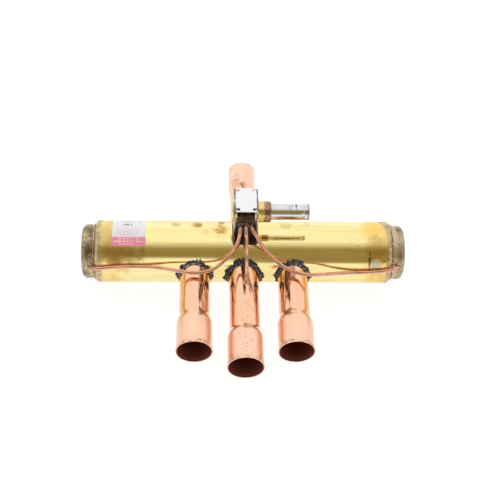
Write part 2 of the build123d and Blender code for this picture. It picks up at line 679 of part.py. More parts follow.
def make_label():
    """A thin wrapped label, its corners cut."""
    inner = BODY_R + LABEL_GLUE
    shell = rod_x(*LABEL_X, inner + LABEL_THICK) - rod_x(*LABEL_X, inner)
    low_y, high_y = [BODY_R * sin(radians(a)) for a in LABEL_ANGLES]
    window = block(LABEL_X, (low_y, high_y), (BODY_R / 2, 2 * BODY_R))
    return shell & chamfer(window.edges().filter_by(Axis.Z), LABEL_CORNER)


# ---------------------------------------------------------------- assembly

def valve_nodes():
    nodes = {
        "main_body_tube": make_body_tube(),
        "left_end_cap": make_end_cap(LEFT_ROUTE),
        "right_end_cap": make_end_cap(RIGHT_ROUTE),
        "left_cap_braze": mirrored(make_cap_braze()),
        "right_cap_braze": make_cap_braze(),
        "port_seat": make_port_seat(),
        "suction_stub": make_suction_stub(),
        "left_port_stub": make_port_stub(-PORT_PITCH, SIDE_TAPER_Y, SIDE_MOUTH_Y),
        "right_port_stub": make_port_stub(PORT_PITCH, SIDE_TAPER_Y, SIDE_MOUTH_Y),
        "discharge_stub": make_discharge_stub(),
        "suction_root_braze": make_root_braze(0, -1, STUB_R),
        "left_root_braze": make_root_braze(-PORT_PITCH, -1, STUB_R),
        "right_root_braze": make_root_braze(PORT_PITCH, -1, STUB_R),
        "discharge_root_braze": make_root_braze(0, 1, DISCHARGE_R),
        "pilot_bracket": make_pilot_bracket(),
        "bracket_foot": make_foot(),
        "foot_braze": make_foot_braze(),
        "pilot_body": make_pilot_body(),
        "pilot_end_plug": make_pilot_plug(),
        "pilot_seat": make_pilot_seat(),
        "pilot_stem": make_stem(),
        "fixed_core": make_fixed_core(),
        "shading_ring": make_shading_ring(),
        "pilot_return_spring": make_return_spring(),
        "left_capillary": make_capillary(LEFT_ROUTE),
        "right_capillary": make_capillary(RIGHT_ROUTE),
        "suction_capillary": make_capillary(SUCTION_ROUTE),
        "discharge_capillary": make_capillary(DISCHARGE_ROUTE),
        **tap_brazes(),
        "rating_label": make_label(),
        "pilot_plunger": make_plunger(),
        "slider_carrier": make_carrier(),
        "pilot_slider": make_pilot_slider(),
        "pilot_leaf_spring": make_leaf_spring(),
        "slide_bracket": Pos(SLIDE_REST_X, 0, 0) * make_slide_bracket(),
        "main_slider": Pos(SLIDE_REST_X, 0, 0) * make_main_slider(),
    }
    piston = {
        "piston_disc": make_piston_disc(),
        "piston_seal": make_piston_seal(),
        "piston_spring": make_piston_spring(),
        "piston_clamp": make_piston_clamp(),
        "piston_screws": make_piston_screws(),
        "piston_stop": make_piston_stop(),
    }
    for name, solid in piston.items():
        nodes["right_" + name] = Pos(SLIDE_REST_X, 0, 0) * solid
        nodes["left_" + name] = Pos(SLIDE_REST_X, 0, 0) * mirrored(solid)
    return nodes


def print_bends():
    """Bend radii and centre-line lengths of the capillaries, for the maker."""
    for name, route in (("left", LEFT_ROUTE), ("right", RIGHT_ROUTE),
                        ("suction", SUCTION_ROUTE), ("discharge", DISCHARGE_ROUTE)):
        radii = bend_radii(route)
        length = FilletPolyline(*route, radius=radii).length
        print(name, "length", round(length, 1), "radii", [round(r, 1) for r in radii])


os.makedirs("parts", exist_ok=True)
for node_name, node_solid in valve_nodes().items():
    export_step(node_solid, f"parts/{node_name}.step")
print_bends()
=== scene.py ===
import json
from math import atan2, cos, degrees, hypot, pi, radians, sin, sqrt, tau

import bmesh
import bpy
from mathutils import Matrix, Vector, noise

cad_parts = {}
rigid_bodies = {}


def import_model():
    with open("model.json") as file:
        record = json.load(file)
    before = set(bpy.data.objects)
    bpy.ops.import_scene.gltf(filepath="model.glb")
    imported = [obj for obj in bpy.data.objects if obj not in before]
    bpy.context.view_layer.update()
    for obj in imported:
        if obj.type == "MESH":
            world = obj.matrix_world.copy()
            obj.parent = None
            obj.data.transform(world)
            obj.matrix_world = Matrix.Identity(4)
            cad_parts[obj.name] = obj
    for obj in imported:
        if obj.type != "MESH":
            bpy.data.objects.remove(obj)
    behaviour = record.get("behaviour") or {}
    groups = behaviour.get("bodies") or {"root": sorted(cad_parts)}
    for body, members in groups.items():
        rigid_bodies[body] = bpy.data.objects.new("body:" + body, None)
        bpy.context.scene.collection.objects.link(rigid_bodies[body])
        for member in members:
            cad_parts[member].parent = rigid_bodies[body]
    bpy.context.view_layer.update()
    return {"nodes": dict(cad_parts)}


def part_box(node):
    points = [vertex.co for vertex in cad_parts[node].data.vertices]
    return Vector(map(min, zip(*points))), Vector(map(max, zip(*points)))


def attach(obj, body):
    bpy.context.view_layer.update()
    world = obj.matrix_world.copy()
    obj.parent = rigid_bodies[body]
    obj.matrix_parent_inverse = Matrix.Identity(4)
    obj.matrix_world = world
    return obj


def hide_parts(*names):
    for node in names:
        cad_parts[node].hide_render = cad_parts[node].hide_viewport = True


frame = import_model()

scene = bpy.context.scene
BODY = "valve_body"

# A four-way reversing valve. The visible shells are turned, bent and drawn here round the
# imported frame; what moves inside keeps its own solids and gets its finish. Metres.

MM = 0.001
TURN_STEPS = 192

body_low, body_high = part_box("main_body_tube")
cap_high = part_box("right_end_cap")[1]
stub_low, stub_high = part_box("right_port_stub")
suction_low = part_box("suction_stub")[0]
discharge_low, discharge_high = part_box("discharge_stub")
stem_low, stem_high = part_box("pilot_stem")
pilot_low, pilot_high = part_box("pilot_body")
seat_low, seat_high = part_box("pilot_seat")

BODY_R = body_high.z
BODY_HALF = body_high.x
BODY_WALL = 1.575 * MM
SHOULDER = 4.6 * MM
CAP_R = 24.8 * MM
CAP_WALL = 3 * MM
CAP_CORNER = 5 * MM
CAP_FACE = cap_high.x
FLANGE_START = 124.4 * MM
PORT_PITCH = (stub_low.x + stub_high.x) / 2
STUB_R = 13.6 * MM
STUB_BORE = 12.4 * MM
SOCKET_R = 14.375 * MM
SOCKET_OUTER_R = 15.6 * MM
BELL_RISE = (stub_high.x - stub_low.x) / 2 - SOCKET_OUTER_R
BELL_LENGTH = 4 * MM
STUB_ROOT = -19.1 * MM
SIDE_TAPER = (-74 * MM, -83.5 * MM)
SUCTION_TAPER = (-90.5 * MM, -98.5 * MM)
DISCHARGE_TAPER = (63 * MM, 80 * MM)
SUCTION_MOUTH = suction_low.y
SIDE_MOUTH = stub_low.y
DISCHARGE_MOUTH = discharge_high.y
DISCHARGE_R = 11.1 * MM
DISCHARGE_BORE = 10.0 * MM
DISCHARGE_SOCKET_R = 11.175 * MM
DISCHARGE_OUTER_R = discharge_high.x
PILOT_Z = (stem_low.z + stem_high.z) / 2
STEM_R = (stem_high.z - stem_low.z) / 2
PILOT_R = (pilot_high.z - pilot_low.z) / 2
PLUG_R = 8.05 * MM
STEM_SEAT_X = 13 * MM

# The capillaries, in millimetres, as their routes are.
PILOT_X = 0.65
CAPILLARY_R = 1.6
CAPILLARY_PITCH = 4.75
EXIT_Z = 51.8
SOCKET_Y = -8.55


# ------------------------------------------------------------------ shader arithmetic

class Wire:
    """A shader socket that takes part in Python arithmetic."""

    def __init__(self, finish, socket):
        self.finish = finish
        self.socket = socket

    def maths(self, operation, *others, clamp=False):
        values = dict(enumerate((self,) + others))
        settings = {"operation": operation, "use_clamp": clamp}
        return self.finish.node("ShaderNodeMath", settings, values)["Value"]

    def __add__(self, other):
        return self.maths("ADD", other)

    __radd__ = __add__

    def __sub__(self, other):
        return self.maths("SUBTRACT", other)

    def __rsub__(self, other):
        return (self * -1) + other

    def __mul__(self, other):
        return self.maths("MULTIPLY", other)

    __rmul__ = __mul__

    def __truediv__(self, other):
        return self.maths("DIVIDE", other)

    def __gt__(self, other):
        return self.maths("GREATER_THAN", other)

    def __lt__(self, other):
        return self.maths("LESS_THAN", other)

    def size(self):
        return self.maths("ABSOLUTE")

    def clamped(self):
        return self.maths("ADD", 0.0, clamp=True)


class Node:
    """A shader node whose outputs are read by name as wires."""

    def __init__(self, finish, made):
        self.finish = finish
        self.made = made

    def __getitem__(self, name):
        return Wire(self.finish, self.made.outputs[name])


class Graph:
    """The shader nodes of a material or of the studio."""

    def __init__(self, tree):
        self.tree = tree

    def node(self, kind, settings=None, values=None):
        made = self.tree.nodes.new(kind)
        for key, setting in (settings or {}).items():
            setattr(made, key, setting)
        for key, value in (values or {}).items():
            if isinstance(value, Wire):
                self.tree.links.new(value.socket, made.inputs[key])
            else:
                made.inputs[key].default_value = value
        return Node(self, made)

    def rise(self, value, low, high):
        """0 below low, 1 above high, smooth between."""
        return self.node("ShaderNodeMapRange", {"interpolation_type": "SMOOTHSTEP"}, {
            "Value": value, "From Min": low, "From Max": high})["Result"]

    def fall(self, value, low, high):
        return 1 - self.rise(value, low, high)

    def within(self, value, low, high, soft):
        return self.rise(value, low - soft, low + soft) * self.fall(value, high - soft, high + soft)

    def blend(self, amount, under, over):
        """Mixes two colours; index 0 of the mix is its factor, 6 and 7 its colours."""
        under, over = (c if isinstance(c, Wire) else (*c, 1) for c in (under, over))
        mixed = self.node("ShaderNodeMix", {"data_type": "RGBA"}, {0: amount, 6: under, 7: over})
        return Wire(self, mixed.made.outputs[2])


class Finish(Graph):
    """A metal, paint or plastic finish under construction."""

    def __init__(self, name, **constants):
        self.material = bpy.data.materials.new(name)
        self.material.use_nodes = True
        super().__init__(self.material.node_tree)
        self.shader = self.tree.nodes["Principled BSDF"]
        for socket, value in constants.items():
            self.shader.inputs[socket.replace("_", " ")].default_value = value
        self.place = self.node("ShaderNodeTexCoord")["Object"]
        axes = self.node("ShaderNodeSeparateXYZ", {}, {"Vector": self.place})
        self.x, self.y, self.z = axes["X"], axes["Y"], axes["Z"]

    def noise(self, scale, detail=4.0, rough=0.55, stretch=(1, 1, 1), shift=(0, 0, 0)):
        place = self.node("ShaderNodeMapping", {}, {
            "Vector": self.place, "Scale": stretch, "Location": shift})["Vector"]
        return self.node("ShaderNodeTexNoise", {}, {
            "Vector": place, "Scale": scale, "Detail": detail, "Roughness": rough})["Fac"]

    def cells(self, scale):
        return self.node("ShaderNodeTexVoronoi", {}, {
            "Vector": self.place, "Scale": scale})["Distance"]

    def spread(self, value, low, high):
        """Stretches 0..1 to low..high."""
        return value * (high - low) + low

    def mark(self, centre, radius, rag, scale=160, squash=(1, 1, 1)):
        """A ragged spot round a point in millimetres: 1 inside, 0 outside."""
        offset = self.node("ShaderNodeVectorMath", {"operation": "SUBTRACT"}, {
            0: self.place, 1: [v * MM for v in centre]})["Vector"]
        squashed = self.node("ShaderNodeVectorMath", {"operation": "MULTIPLY"}, {
            0: offset, 1: squash})["Vector"]
        reach = self.node("ShaderNodeVectorMath", {"operation": "LENGTH"}, {0: squashed})["Value"]
        edge = reach + (self.noise(scale, 4, 0.7) - 0.5) * (rag * MM)
        return self.fall(edge, radius * 0.55 * MM, radius * MM)

    def scratch(self, centre, radius, width):
        """A thin curved line: where a sphere of the radius cuts the surface."""
        reach = self.node("ShaderNodeVectorMath", {"operation": "DISTANCE"}, {
            0: self.place, 1: [v * MM for v in centre]})["Value"]
        return self.fall((reach - radius * MM).size(), width * 0.4 * MM, width * MM)

    def attribute(self, name):
        return self.node("ShaderNodeAttribute", {"attribute_name": name})["Fac"]

    def bumps(self, height, distance, strength=1.0):
        return self.node("ShaderNodeBump", {}, {
            "Height": height, "Distance": distance, "Strength": strength})["Normal"]

    def wear(self, **sockets):
        for name, value in sockets.items():
            self.tree.links.new(value.socket, self.shader.inputs[name.replace("_", " ")])
        return self.material


# ------------------------------------------------------------------ finishes

BRASS = (0.90, 0.74, 0.31)
BRASS_PALE = (0.97, 0.87, 0.48)
BRASS_GOLD = (0.93, 0.60, 0.15)
BRASS_VEIL = (0.60, 0.43, 0.15)
BRASS_BROWN = (0.42, 0.25, 0.06)
BRASS_OLIVE = (0.56, 0.44, 0.17)
OXIDE = (0.34, 0.27, 0.16)
OXIDE_DARK = (0.10, 0.08, 0.06)
OXIDE_PALE = (0.58, 0.50, 0.35)
COPPER = (0.91, 0.54, 0.36)
COPPER_PALE = (0.94, 0.62, 0.46)
COPPER_DEEP = (0.60, 0.25, 0.13)
SCALE_BLACK = (0.022, 0.021, 0.026)
SCALE_GREY = (0.17, 0.165, 0.185)


BODY_STAINS = (
    # centre, radius and raggedness in millimetres, grain, depth, colour
    ((-21.7, 3.9, 28.3), 9.5, 12.0, 300, 0.75, BRASS_GOLD),
    ((-21.7, 3.9, 28.3), 8.0, 15.0, 420, 0.90, BRASS_BROWN),
    ((-20.1, 14.1, 24.9), 4.0, 4.0, 260, 0.85, OXIDE_DARK),
    ((-43.1, 9.8, 26.9), 6.5, 9.0, 220, 0.75, BRASS_VEIL),
    ((-41.5, 8.8, 27.2), 4.2, 5.0, 260, 0.85, BRASS_BROWN),
    ((-61.3, 10.5, 26.6), 5.5, 7.0, 200, 0.80, BRASS_VEIL),
    ((38.4, 9.8, 26.9), 7.0, 7.0, 140, 0.55, BRASS_VEIL),
    ((55.9, 10.9, 26.4), 4.5, 5.0, 180, 0.60, BRASS_VEIL),
    ((-108.0, -17.5, 22.5), 26.0, 26.0, 70, 0.85, BRASS_VEIL),
    ((-117.5, -24.2, 15.0), 7.0, 9.0, 120, 0.60, BRASS_BROWN),
    ((-123.0, -6.0, 27.2), 12.0, 12.0, 90, 0.60, BRASS_VEIL),
    ((-116.0, 14.0, 25.9), 9.0, 8.0, 80, 0.45, BRASS_VEIL),
    ((118.0, 6.0, 28.0), 13.0, 14.0, 120, 0.60, BRASS_GOLD),
    ((120.0, -13.0, 25.4), 13.0, 12.0, 130, 0.65, BRASS_VEIL),
    ((60.0, 20.0, -20.0), 14.0, 12.0, 60, 0.50, BRASS_VEIL),
    ((-70.0, 8.0, -27.0), 16.0, 14.0, 60, 0.50, BRASS_VEIL),
    ((-30.0, 26.0, 10.0), 12.0, 12.0, 90, 0.45, BRASS_OLIVE),
)


def body_brass():
    """Polished tube brass: gilded by the torch near its ends, grey with oxide at the rolls."""
    f = Finish("body_brass", Metallic=1.0)
    reach = f.x.size()
    right = f.rise(f.x, -0.01, 0.01)
    cloud = f.noise(38, 5, 0.6)
    patchy = f.noise(95, 5, 0.65)
    mottle = f.noise(210, 4, 0.7)
    fine = f.noise(420, 3, 0.6)
    tint = f.rise(reach + (cloud - 0.5) * 0.030, 0.104, 0.120)
    crown = f.rise(f.y, 0.0, 0.016) * right * 0.004
    oxide = f.rise(reach + crown + (cloud - 0.5) * 0.010 + (fine - 0.5) * 0.006, 0.1280, 0.1312)
    streak = f.noise(150, 3, 0.6, stretch=(0.04, 1, 1))
    lines = f.noise(520, 2, 0.5, stretch=(0.012, 1, 1))
    base = f.blend(f.rise(streak, 0.3, 0.7) * 0.8, BRASS, BRASS_PALE)
    base = f.blend(f.rise(lines, 0.56, 0.72) * 0.35, base, BRASS_OLIVE)
    base = f.blend(f.rise(patchy, 0.48, 0.75) * 0.15, base, BRASS_OLIVE)
    base = f.blend(tint * f.rise(mottle, 0.37, 0.52) * f.spread(right, 0.6, 0.95), base, BRASS_GOLD)
    base = f.blend(tint * f.fall(cloud, 0.40, 0.58) * 0.6, base, BRASS_VEIL)
    base = f.blend(tint * right * f.rise(mottle, 0.60, 0.66) * 0.6, base, BRASS_PALE)
    stains = 0.0
    for centre, radius, rag, scale, depth, colour in BODY_STAINS:
        spot = f.mark(centre, radius, rag, scale) * f.rise(patchy, 0.30, 0.58)
        base = f.blend(spot * depth, base, colour)
        stains = spot + stains
    ring = f.mark((114.0, -23.7, 16.0), 11, 6, squash=(7, 1, 1)) * f.rise(mottle, 0.35, 0.5)
    base = f.blend(ring * 0.8, base, (0.17, 0.09, 0.03))
    pale = f.mark((119.5, -25.3, 13.3), 6.5, 6.0, 220) * 0.75
    base = f.blend(pale, base, (0.62, 0.59, 0.48))
    base = f.blend(f.mark((-34.4, -0.6, 28.6), 3.4, 4.0, 300) * 0.6, base, (0.88, 0.48, 0.32))
    specks = f.fall(f.cells(330), 0.05, 0.13) * f.rise(f.noise(24, 2, 0.5), 0.56, 0.66)
    grit = f.mark((97, -13.5, 25.2), 13, 8, 90) * f.fall(f.cells(480), 0.12, 0.26) \
        * f.rise(patchy, 0.42, 0.58)
    crust = f.blend(f.rise(mottle, 0.38, 0.62), OXIDE, OXIDE_PALE)
    base = f.blend(oxide * f.fall(fine, 0.54, 0.66) * 0.85, base, crust)
    base = f.blend((specks * 0.8 + grit * 0.8).clamped(), base, OXIDE_DARK)
    dull = tint * 0.07 + oxide * 0.24 + stains * 0.12 + pale * 0.3
    rough = dull + f.spread(f.noise(60, 4, 0.6, stretch=(0.15, 1, 1)), 0.05, 0.13)
    ripple = f.noise(22, 2, 0.5, stretch=(0.35, 1, 1)) + f.noise(900, 2, 0.5) * 0.02
    return f.wear(Base_Color=base, Roughness=rough, Normal=f.bumps(ripple, 0.00045, 0.35))


def cap_brass():
    """Drawn caps, dull with heat, with bright grains of bare brass."""
    f = Finish("cap_brass", Metallic=0.95)
    cloud = f.noise(70, 5, 0.62)
    grain = f.noise(430, 3, 0.7)
    left = f.fall(f.x, -0.01, 0.01)
    bright = f.rise(grain, 0.52, 0.60) * f.rise(cloud, 0.40, 0.56) * f.spread(left, 0.45, 1.0)
    base = f.blend(f.rise(cloud, 0.34, 0.66), (0.22, 0.165, 0.10), (0.47, 0.385, 0.26))
    dark = f.rise(f.noise(110, 4, 0.7, shift=(0.1, 0.2, 0.3)), 0.46, 0.64)
    face = f.rise(f.x.size(), 0.1440, 0.1468)
    base = f.blend(dark * f.spread(face, 0.6, 0.3), base, OXIDE_DARK)
    neck = f.fall(f.x.size(), 0.1385, 0.1415)
    base = f.blend(neck * f.fall(left, 0, 1) * 0.6, base, (0.74, 0.60, 0.38))
    base = f.blend(bright * f.spread(face, 0.8, 0.25), base, (0.84, 0.69, 0.34))
    rough = f.spread(cloud, 0.30, 0.46) - bright * 0.1
    return f.wear(Base_Color=base, Roughness=rough, Normal=f.bumps(grain, 0.00012, 0.6))


def stub_copper():
    """Bright drawn tube; the swaged sockets are satin and carry small dark pits."""
    f = Finish("stub_copper", Metallic=1.0)
    swage = f.attribute("swage")
    cloud = f.noise(45, 4, 0.6)
    patchy = f.noise(130, 4, 0.65)
    hair = f.noise(240, 3, 0.6, stretch=(1, 0.05, 1))
    fleck = f.fall(f.cells(360) + f.noise(300, 2, 0.5) * 0.25, 0.20, 0.36)
    pits = fleck * f.rise(f.noise(34, 2, 0.5), 0.53, 0.62)
    for centre, radius in (((2, -119, 15.5), 9), ((50, -77, 13), 8), ((6, -76, 13), 6)):
        pits = pits + f.mark(centre, radius, 6) * fleck * f.rise(patchy, 0.38, 0.52)
    heat = f.attribute("heat")
    base = f.blend(swage * f.spread(cloud, 0.45, 0.85), COPPER, COPPER_PALE)
    base = f.blend(f.rise(hair, 0.55, 0.8) * 0.2, base, COPPER_DEEP)
    base = f.blend(f.rise(patchy, 0.52, 0.75) * 0.16, base, COPPER_DEEP)
    base = f.blend(f.rise(heat + (cloud - 0.5) * 0.6, 0.3, 0.9) * 0.4, base, (0.86, 0.62, 0.27))
    base = f.blend(f.mark((7.5, -52, 11.3), 5.5, 3, 200) * 0.45, base, (0.50, 0.22, 0.14))
    base = f.blend(f.mark((-5.5, 75.5, 10.2), 6.5, 6, 150) * 0.5, base, (0.62, 0.33, 0.18))
    # Painted highlight: the discharge stub, beyond 50 mm, is mottled pale cream to stand in for the
    # near-white sheen along it.
    base = f.blend(f.rise(f.y, 0.05, 0.06) * f.rise(cloud, 0.40, 0.60) * 0.55, base,
                   (0.98, 0.77, 0.62))
    rim = f.attribute("rim") * f.rise(f.noise(380, 3, 0.7), 0.50, 0.60)
    base = f.blend(rim * 0.7, base, (0.36, 0.19, 0.13))
    lines = f.scratch((-1, 70, 8), 17.2, 0.30) + f.scratch((-3, 74, 4), 10.6, 0.35)
    lines = lines * f.fall(f.x, -0.004, -0.002) * f.rise(f.y, 0.076, 0.077)
    arcs = f.scratch((9, -78, 8), 14, 0.16) + f.scratch((-6, -80, 8), 14, 0.16)
    arcs = arcs * f.within(f.y, -0.078, -0.056, 0.002) * f.fall(f.x.size(), 0.012, 0.014)
    base = f.blend((lines.clamped() * 0.8 + arcs.clamped() * 0.45).clamped(), base,
                   (0.13, 0.10, 0.085))
    base = f.blend(pits.clamped() * 0.8, base, (0.10, 0.05, 0.035))
    rough = f.spread(swage, 0.10, 0.30) + (patchy - 0.5) * 0.1 + pits * 0.3
    return f.wear(Base_Color=base, Roughness=rough,
                  Normal=f.bumps(hair + f.noise(30, 2, 0.5) * 2, 0.00025, 0.35))


def stub_inside():
    """The inside of a stub, dark with oxide and red farther in."""
    f = Finish("stub_inside", Specular_IOR_Level=0.15)
    cloud = f.noise(60, 4, 0.6)
    base = f.blend(cloud, (0.14, 0.040, 0.030), (0.24, 0.062, 0.045))
    deep = f.fall(f.attribute("swage"), 0.0, 0.9)
    base = f.blend(deep * 0.85, base, (0.85, 0.11, 0.04))
    return f.wear(Base_Color=base, Roughness=f.spread(cloud, 0.38, 0.6))


def capillary_copper():
    """Thin drawn tube, a little browner, with long drag marks."""
    f = Finish("capillary_copper", Metallic=1.0)
    cloud = f.noise(120, 4, 0.6)
    long = f.noise(60, 3, 0.6, shift=(0.4, 0.1, 0.2))
    base = f.blend(f.rise(cloud, 0.35, 0.7), (0.80, 0.44, 0.31), (0.62, 0.32, 0.23))
    base = f.blend(f.rise(long, 0.58, 0.70) * 0.6, base, (0.24, 0.13, 0.11))
    rough = f.spread(cloud, 0.2, 0.36)
    return f.wear(Base_Color=base, Roughness=rough, Normal=f.bumps(cloud, 0.0001, 0.4))


def burnt_braze():
    """Scale and flux left by the torch: black, with painted highlights in grey along its ridges."""
    f = Finish("burnt_braze", Metallic=0.45)
    lumps = f.noise(300, 5, 0.72)
    # Painted highlight: the crust attribute marks the bead next to the tube and the ridge line in
    # the middle, painted grey where they would catch the light.
    crust = f.attribute("crust")
    ridge = f.rise(lumps, 0.47, 0.62)
    base = f.blend(ridge, SCALE_BLACK, SCALE_GREY)
    base = f.blend(crust * f.rise(f.noise(430, 3, 0.6), 0.44, 0.60), base, (0.46, 0.44, 0.47))
    base = f.blend(f.rise(f.noise(90, 2, 0.5), 0.56, 0.7) * 0.5, base, (0.24, 0.13, 0.08))
    return f.wear(Base_Color=base, Roughness=f.spread(lumps, 0.30, 0.65),
                  Normal=f.bumps(lumps, 0.0006, 0.9))


def foot_scale():
    """The scorched steel foot of the bracket."""
    f = Finish("foot_scale", Metallic=0.5)
    lumps = f.noise(180, 5, 0.65)
    base = f.blend(f.rise(lumps, 0.42, 0.7), (0.018, 0.016, 0.015), (0.085, 0.075, 0.068))
    return f.wear(Base_Color=base, Roughness=f.spread(lumps, 0.25, 0.6),
                  Normal=f.bumps(lumps, 0.0004, 0.7))


def braze_metal():
    """The pale bead of solidified braze."""
    f = Finish("braze_metal", Metallic=0.9)
    cloud = f.noise(300, 4, 0.6)
    base = f.blend(f.rise(cloud, 0.38, 0.62), (0.34, 0.24, 0.15), (0.84, 0.68, 0.46))
    return f.wear(Base_Color=base, Roughness=f.spread(cloud, 0.2, 0.42),
                  Normal=f.bumps(cloud, 0.0003, 0.6))


def zinc_steel():
    """Zinc-plated sheet: pale and satin, darker round its bends, scorched at its foot."""
    f = Finish("zinc_steel", Metallic=0.85)
    cloud = f.noise(140, 4, 0.6)
    brushed = f.noise(700, 3, 0.6, stretch=(1, 0.08, 1))
    base = f.blend(cloud, (0.80, 0.80, 0.82), (0.92, 0.92, 0.92))
    bend = f.rise((f.x - PILOT_X * MM).size(), 0.0088, 0.0096) * f.rise(f.z, 0.060, 0.066)
    base = f.blend(bend * f.rise(cloud, 0.38, 0.52) * 0.92, base, (0.05, 0.048, 0.046))
    burn = f.fall(f.z + (cloud - 0.5) * 0.03, 0.040, 0.060)
    base = f.blend(burn * 0.9, base, (0.045, 0.038, 0.034))
    spots = f.rise(f.noise(420, 3, 0.6), 0.62, 0.72)
    base = f.blend(spots * 0.35, base, (0.42, 0.41, 0.40))
    rough = f.spread(brushed, 0.28, 0.44)
    return f.wear(Base_Color=base, Roughness=rough, Normal=f.bumps(brushed, 0.00008, 0.4))


def pilot_brass():
    """The pilot barrel: yellow at its root, purple-brown where the stem was brazed in."""
    f = Finish("pilot_brass", Metallic=1.0)
    cloud = f.noise(240, 4, 0.6)
    hot = f.rise(f.x + (cloud - 0.5) * 0.004, 0.0155, 0.0185)
    purple = f.blend(f.rise(f.noise(330, 3, 0.5), 0.4, 0.6), (0.30, 0.17, 0.10), (0.36, 0.19, 0.24))
    base = f.blend(f.rise(cloud, 0.35, 0.65), (0.74, 0.52, 0.14), (0.86, 0.68, 0.30))
    base = f.blend(hot * 0.92, base, purple)
    return f.wear(Base_Color=base, Roughness=f.spread(cloud, 0.16, 0.34),
                  Normal=f.bumps(cloud, 0.0002, 0.4))


def burnt_brass():
    """The seat block, scorched almost black with brown in it, with painted highlights: pale rings
    round the three capillary exits.
    """
    f = Finish("burnt_brass", Metallic=0.6)
    cloud = f.noise(200, 5, 0.65)
    base = f.blend(f.rise(cloud, 0.4, 0.7), (0.020, 0.014, 0.010), (0.115, 0.075, 0.045))
    for step in (-1, 0, 1):
        # Painted highlight: a pale ring round each capillary exit stands in for the glint on its
        # braze ring.
        exit_ring_highlight = f.scratch((PILOT_X + step * CAPILLARY_PITCH, seat_low.y / MM, EXIT_Z), 2.1, 0.5)
        base = f.blend(exit_ring_highlight * f.rise(cloud, 0.42, 0.55) * 0.8, base, (0.62, 0.58, 0.52))
    return f.wear(Base_Color=base, Roughness=f.spread(cloud, 0.3, 0.55),
                  Normal=f.bumps(cloud, 0.0004, 0.6))


def stainless():
    """The drawn stem, mirror bright, with dark scuffs round it."""
    f = Finish("stainless", Metallic=1.0)
    cloud = f.noise(90, 3, 0.6)
    ring = f.noise(210, 2, 0.5, stretch=(1, 0.12, 0.12))
    scuff = f.rise(f.noise(230, 4, 0.75, stretch=(1.6, 0.6, 0.6)), 0.57, 0.64)
    near = f.fall(f.x, 0.030, 0.036)
    base = f.blend(cloud, (0.60, 0.59, 0.56), (0.80, 0.79, 0.77))
    base = f.blend(scuff * f.spread(near, 0.45, 0.9), base, (0.12, 0.10, 0.085))
    for centre, size in (((45.2, 0.7, 63.1), 2.6), ((42.0, 1.5, 63.0), 1.9)):
        base = f.blend(f.mark(centre, size, 1.5, 600, (3.2, 1, 1)) * 0.95, base,
                       (0.05, 0.05, 0.05))
    end = f.rise(f.x, 0.0545, 0.0562)
    base = f.blend(end * 0.7, base, (0.16, 0.15, 0.14))
    rough = f.spread(ring, 0.05, 0.16) + scuff * 0.2 + end * 0.15
    return f.wear(Base_Color=base, Roughness=rough)


def turned_steel(name, dark, pale):
    f = Finish(name, Metallic=1.0)
    rings = f.noise(1500, 2, 0.5, stretch=(1, 0.1, 0.1))
    base = f.blend(rings, dark, pale)
    return f.wear(Base_Color=base, Roughness=f.spread(rings, 0.18, 0.34))


def machined_brass():
    f = Finish("machined_brass", Metallic=1.0)
    marks = f.noise(900, 3, 0.6, stretch=(0.1, 1, 1))
    base = f.blend(marks, (0.62, 0.44, 0.15), (0.85, 0.66, 0.30))
    return f.wear(Base_Color=base, Roughness=f.spread(marks, 0.2, 0.36))


def plastic(name, dark, pale):
    f = Finish(name)
    cloud = f.noise(160, 3, 0.6)
    return f.wear(Base_Color=f.blend(cloud, dark, pale), Roughness=f.spread(cloud, 0.3, 0.5))


LABEL_X = (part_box("rating_label")[0].x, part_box("rating_label")[1].x)
LABEL_FRONT = radians(30)
LABEL_BACK = radians(49.8)
LABEL_BAND = radians(12.7)


def label_film():
    """White film with a pink band and blank bars where print would be."""
    f = Finish("label_film", Specular_IOR_Level=0.5)
    angle = (f.y * -1).maths("ARCTAN2", f.z)
    along = f.x - (LABEL_X[0] + LABEL_X[1]) / 2
    scuffs = f.noise(300, 3, 0.6)
    band = f.rise(angle, LABEL_BAND - 0.004, LABEL_BAND + 0.004)
    base = f.blend(band, (0.88, 0.89, 0.93), (0.95, 0.29, 0.44))

    def bar(middle, low, high, half, colour, strength, base):
        dashes = f.rise(f.noise(900, 1, 0.5, stretch=(1, 0.02, 0.02)), 0.42, 0.5)
        mask = f.within(angle, radians(low), radians(high), 0.003)
        mask = mask * f.within((along - middle * MM).size(), -1, half * MM, 0.0002)
        return f.blend(mask * dashes * strength, base, colour)

    grey, rose, white = (0.36, 0.37, 0.40), (0.86, 0.42, 0.52), (0.97, 0.90, 0.92)
    base = bar(1.4, -35.0, -27.5, 10.4, grey, 0.6, base)
    base = bar(-1.5, -21.5, -15.0, 4.3, (0.16, 0.16, 0.19), 0.75, base)
    base = bar(-1.5, -8.8, -6.2, 1.6, rose, 0.5, base)
    base = bar(-1.5, 0.0, 4.4, 5.5, rose, 0.5, base)
    base = bar(-1.5, 8.4, 10.4, 6.2, rose, 0.6, base)
    base = bar(0, 15.0, 17.2, 10.0, white, 0.7, base)
    base = bar(-0.5, 20.2, 22.8, 13.2, white, 0.8, base)
    base = bar(-1.0, 25.4, 27.6, 7.5, white, 0.8, base)
    frame_out = f.within(angle, radians(-3.2), radians(7.6), 0.003) \
        * f.within((along + 1.5 * MM).size(), -1, 8.8 * MM, 0.0002)
    frame_in = f.within(angle, radians(-1.8), radians(6.2), 0.003) \
        * f.within((along + 1.5 * MM).size(), -1, 7.9 * MM, 0.0002)
    base = f.blend((frame_out - frame_in).clamped() * 0.6, base, rose)
    return f.wear(Base_Color=base, Roughness=f.spread(scuffs, 0.32, 0.5))


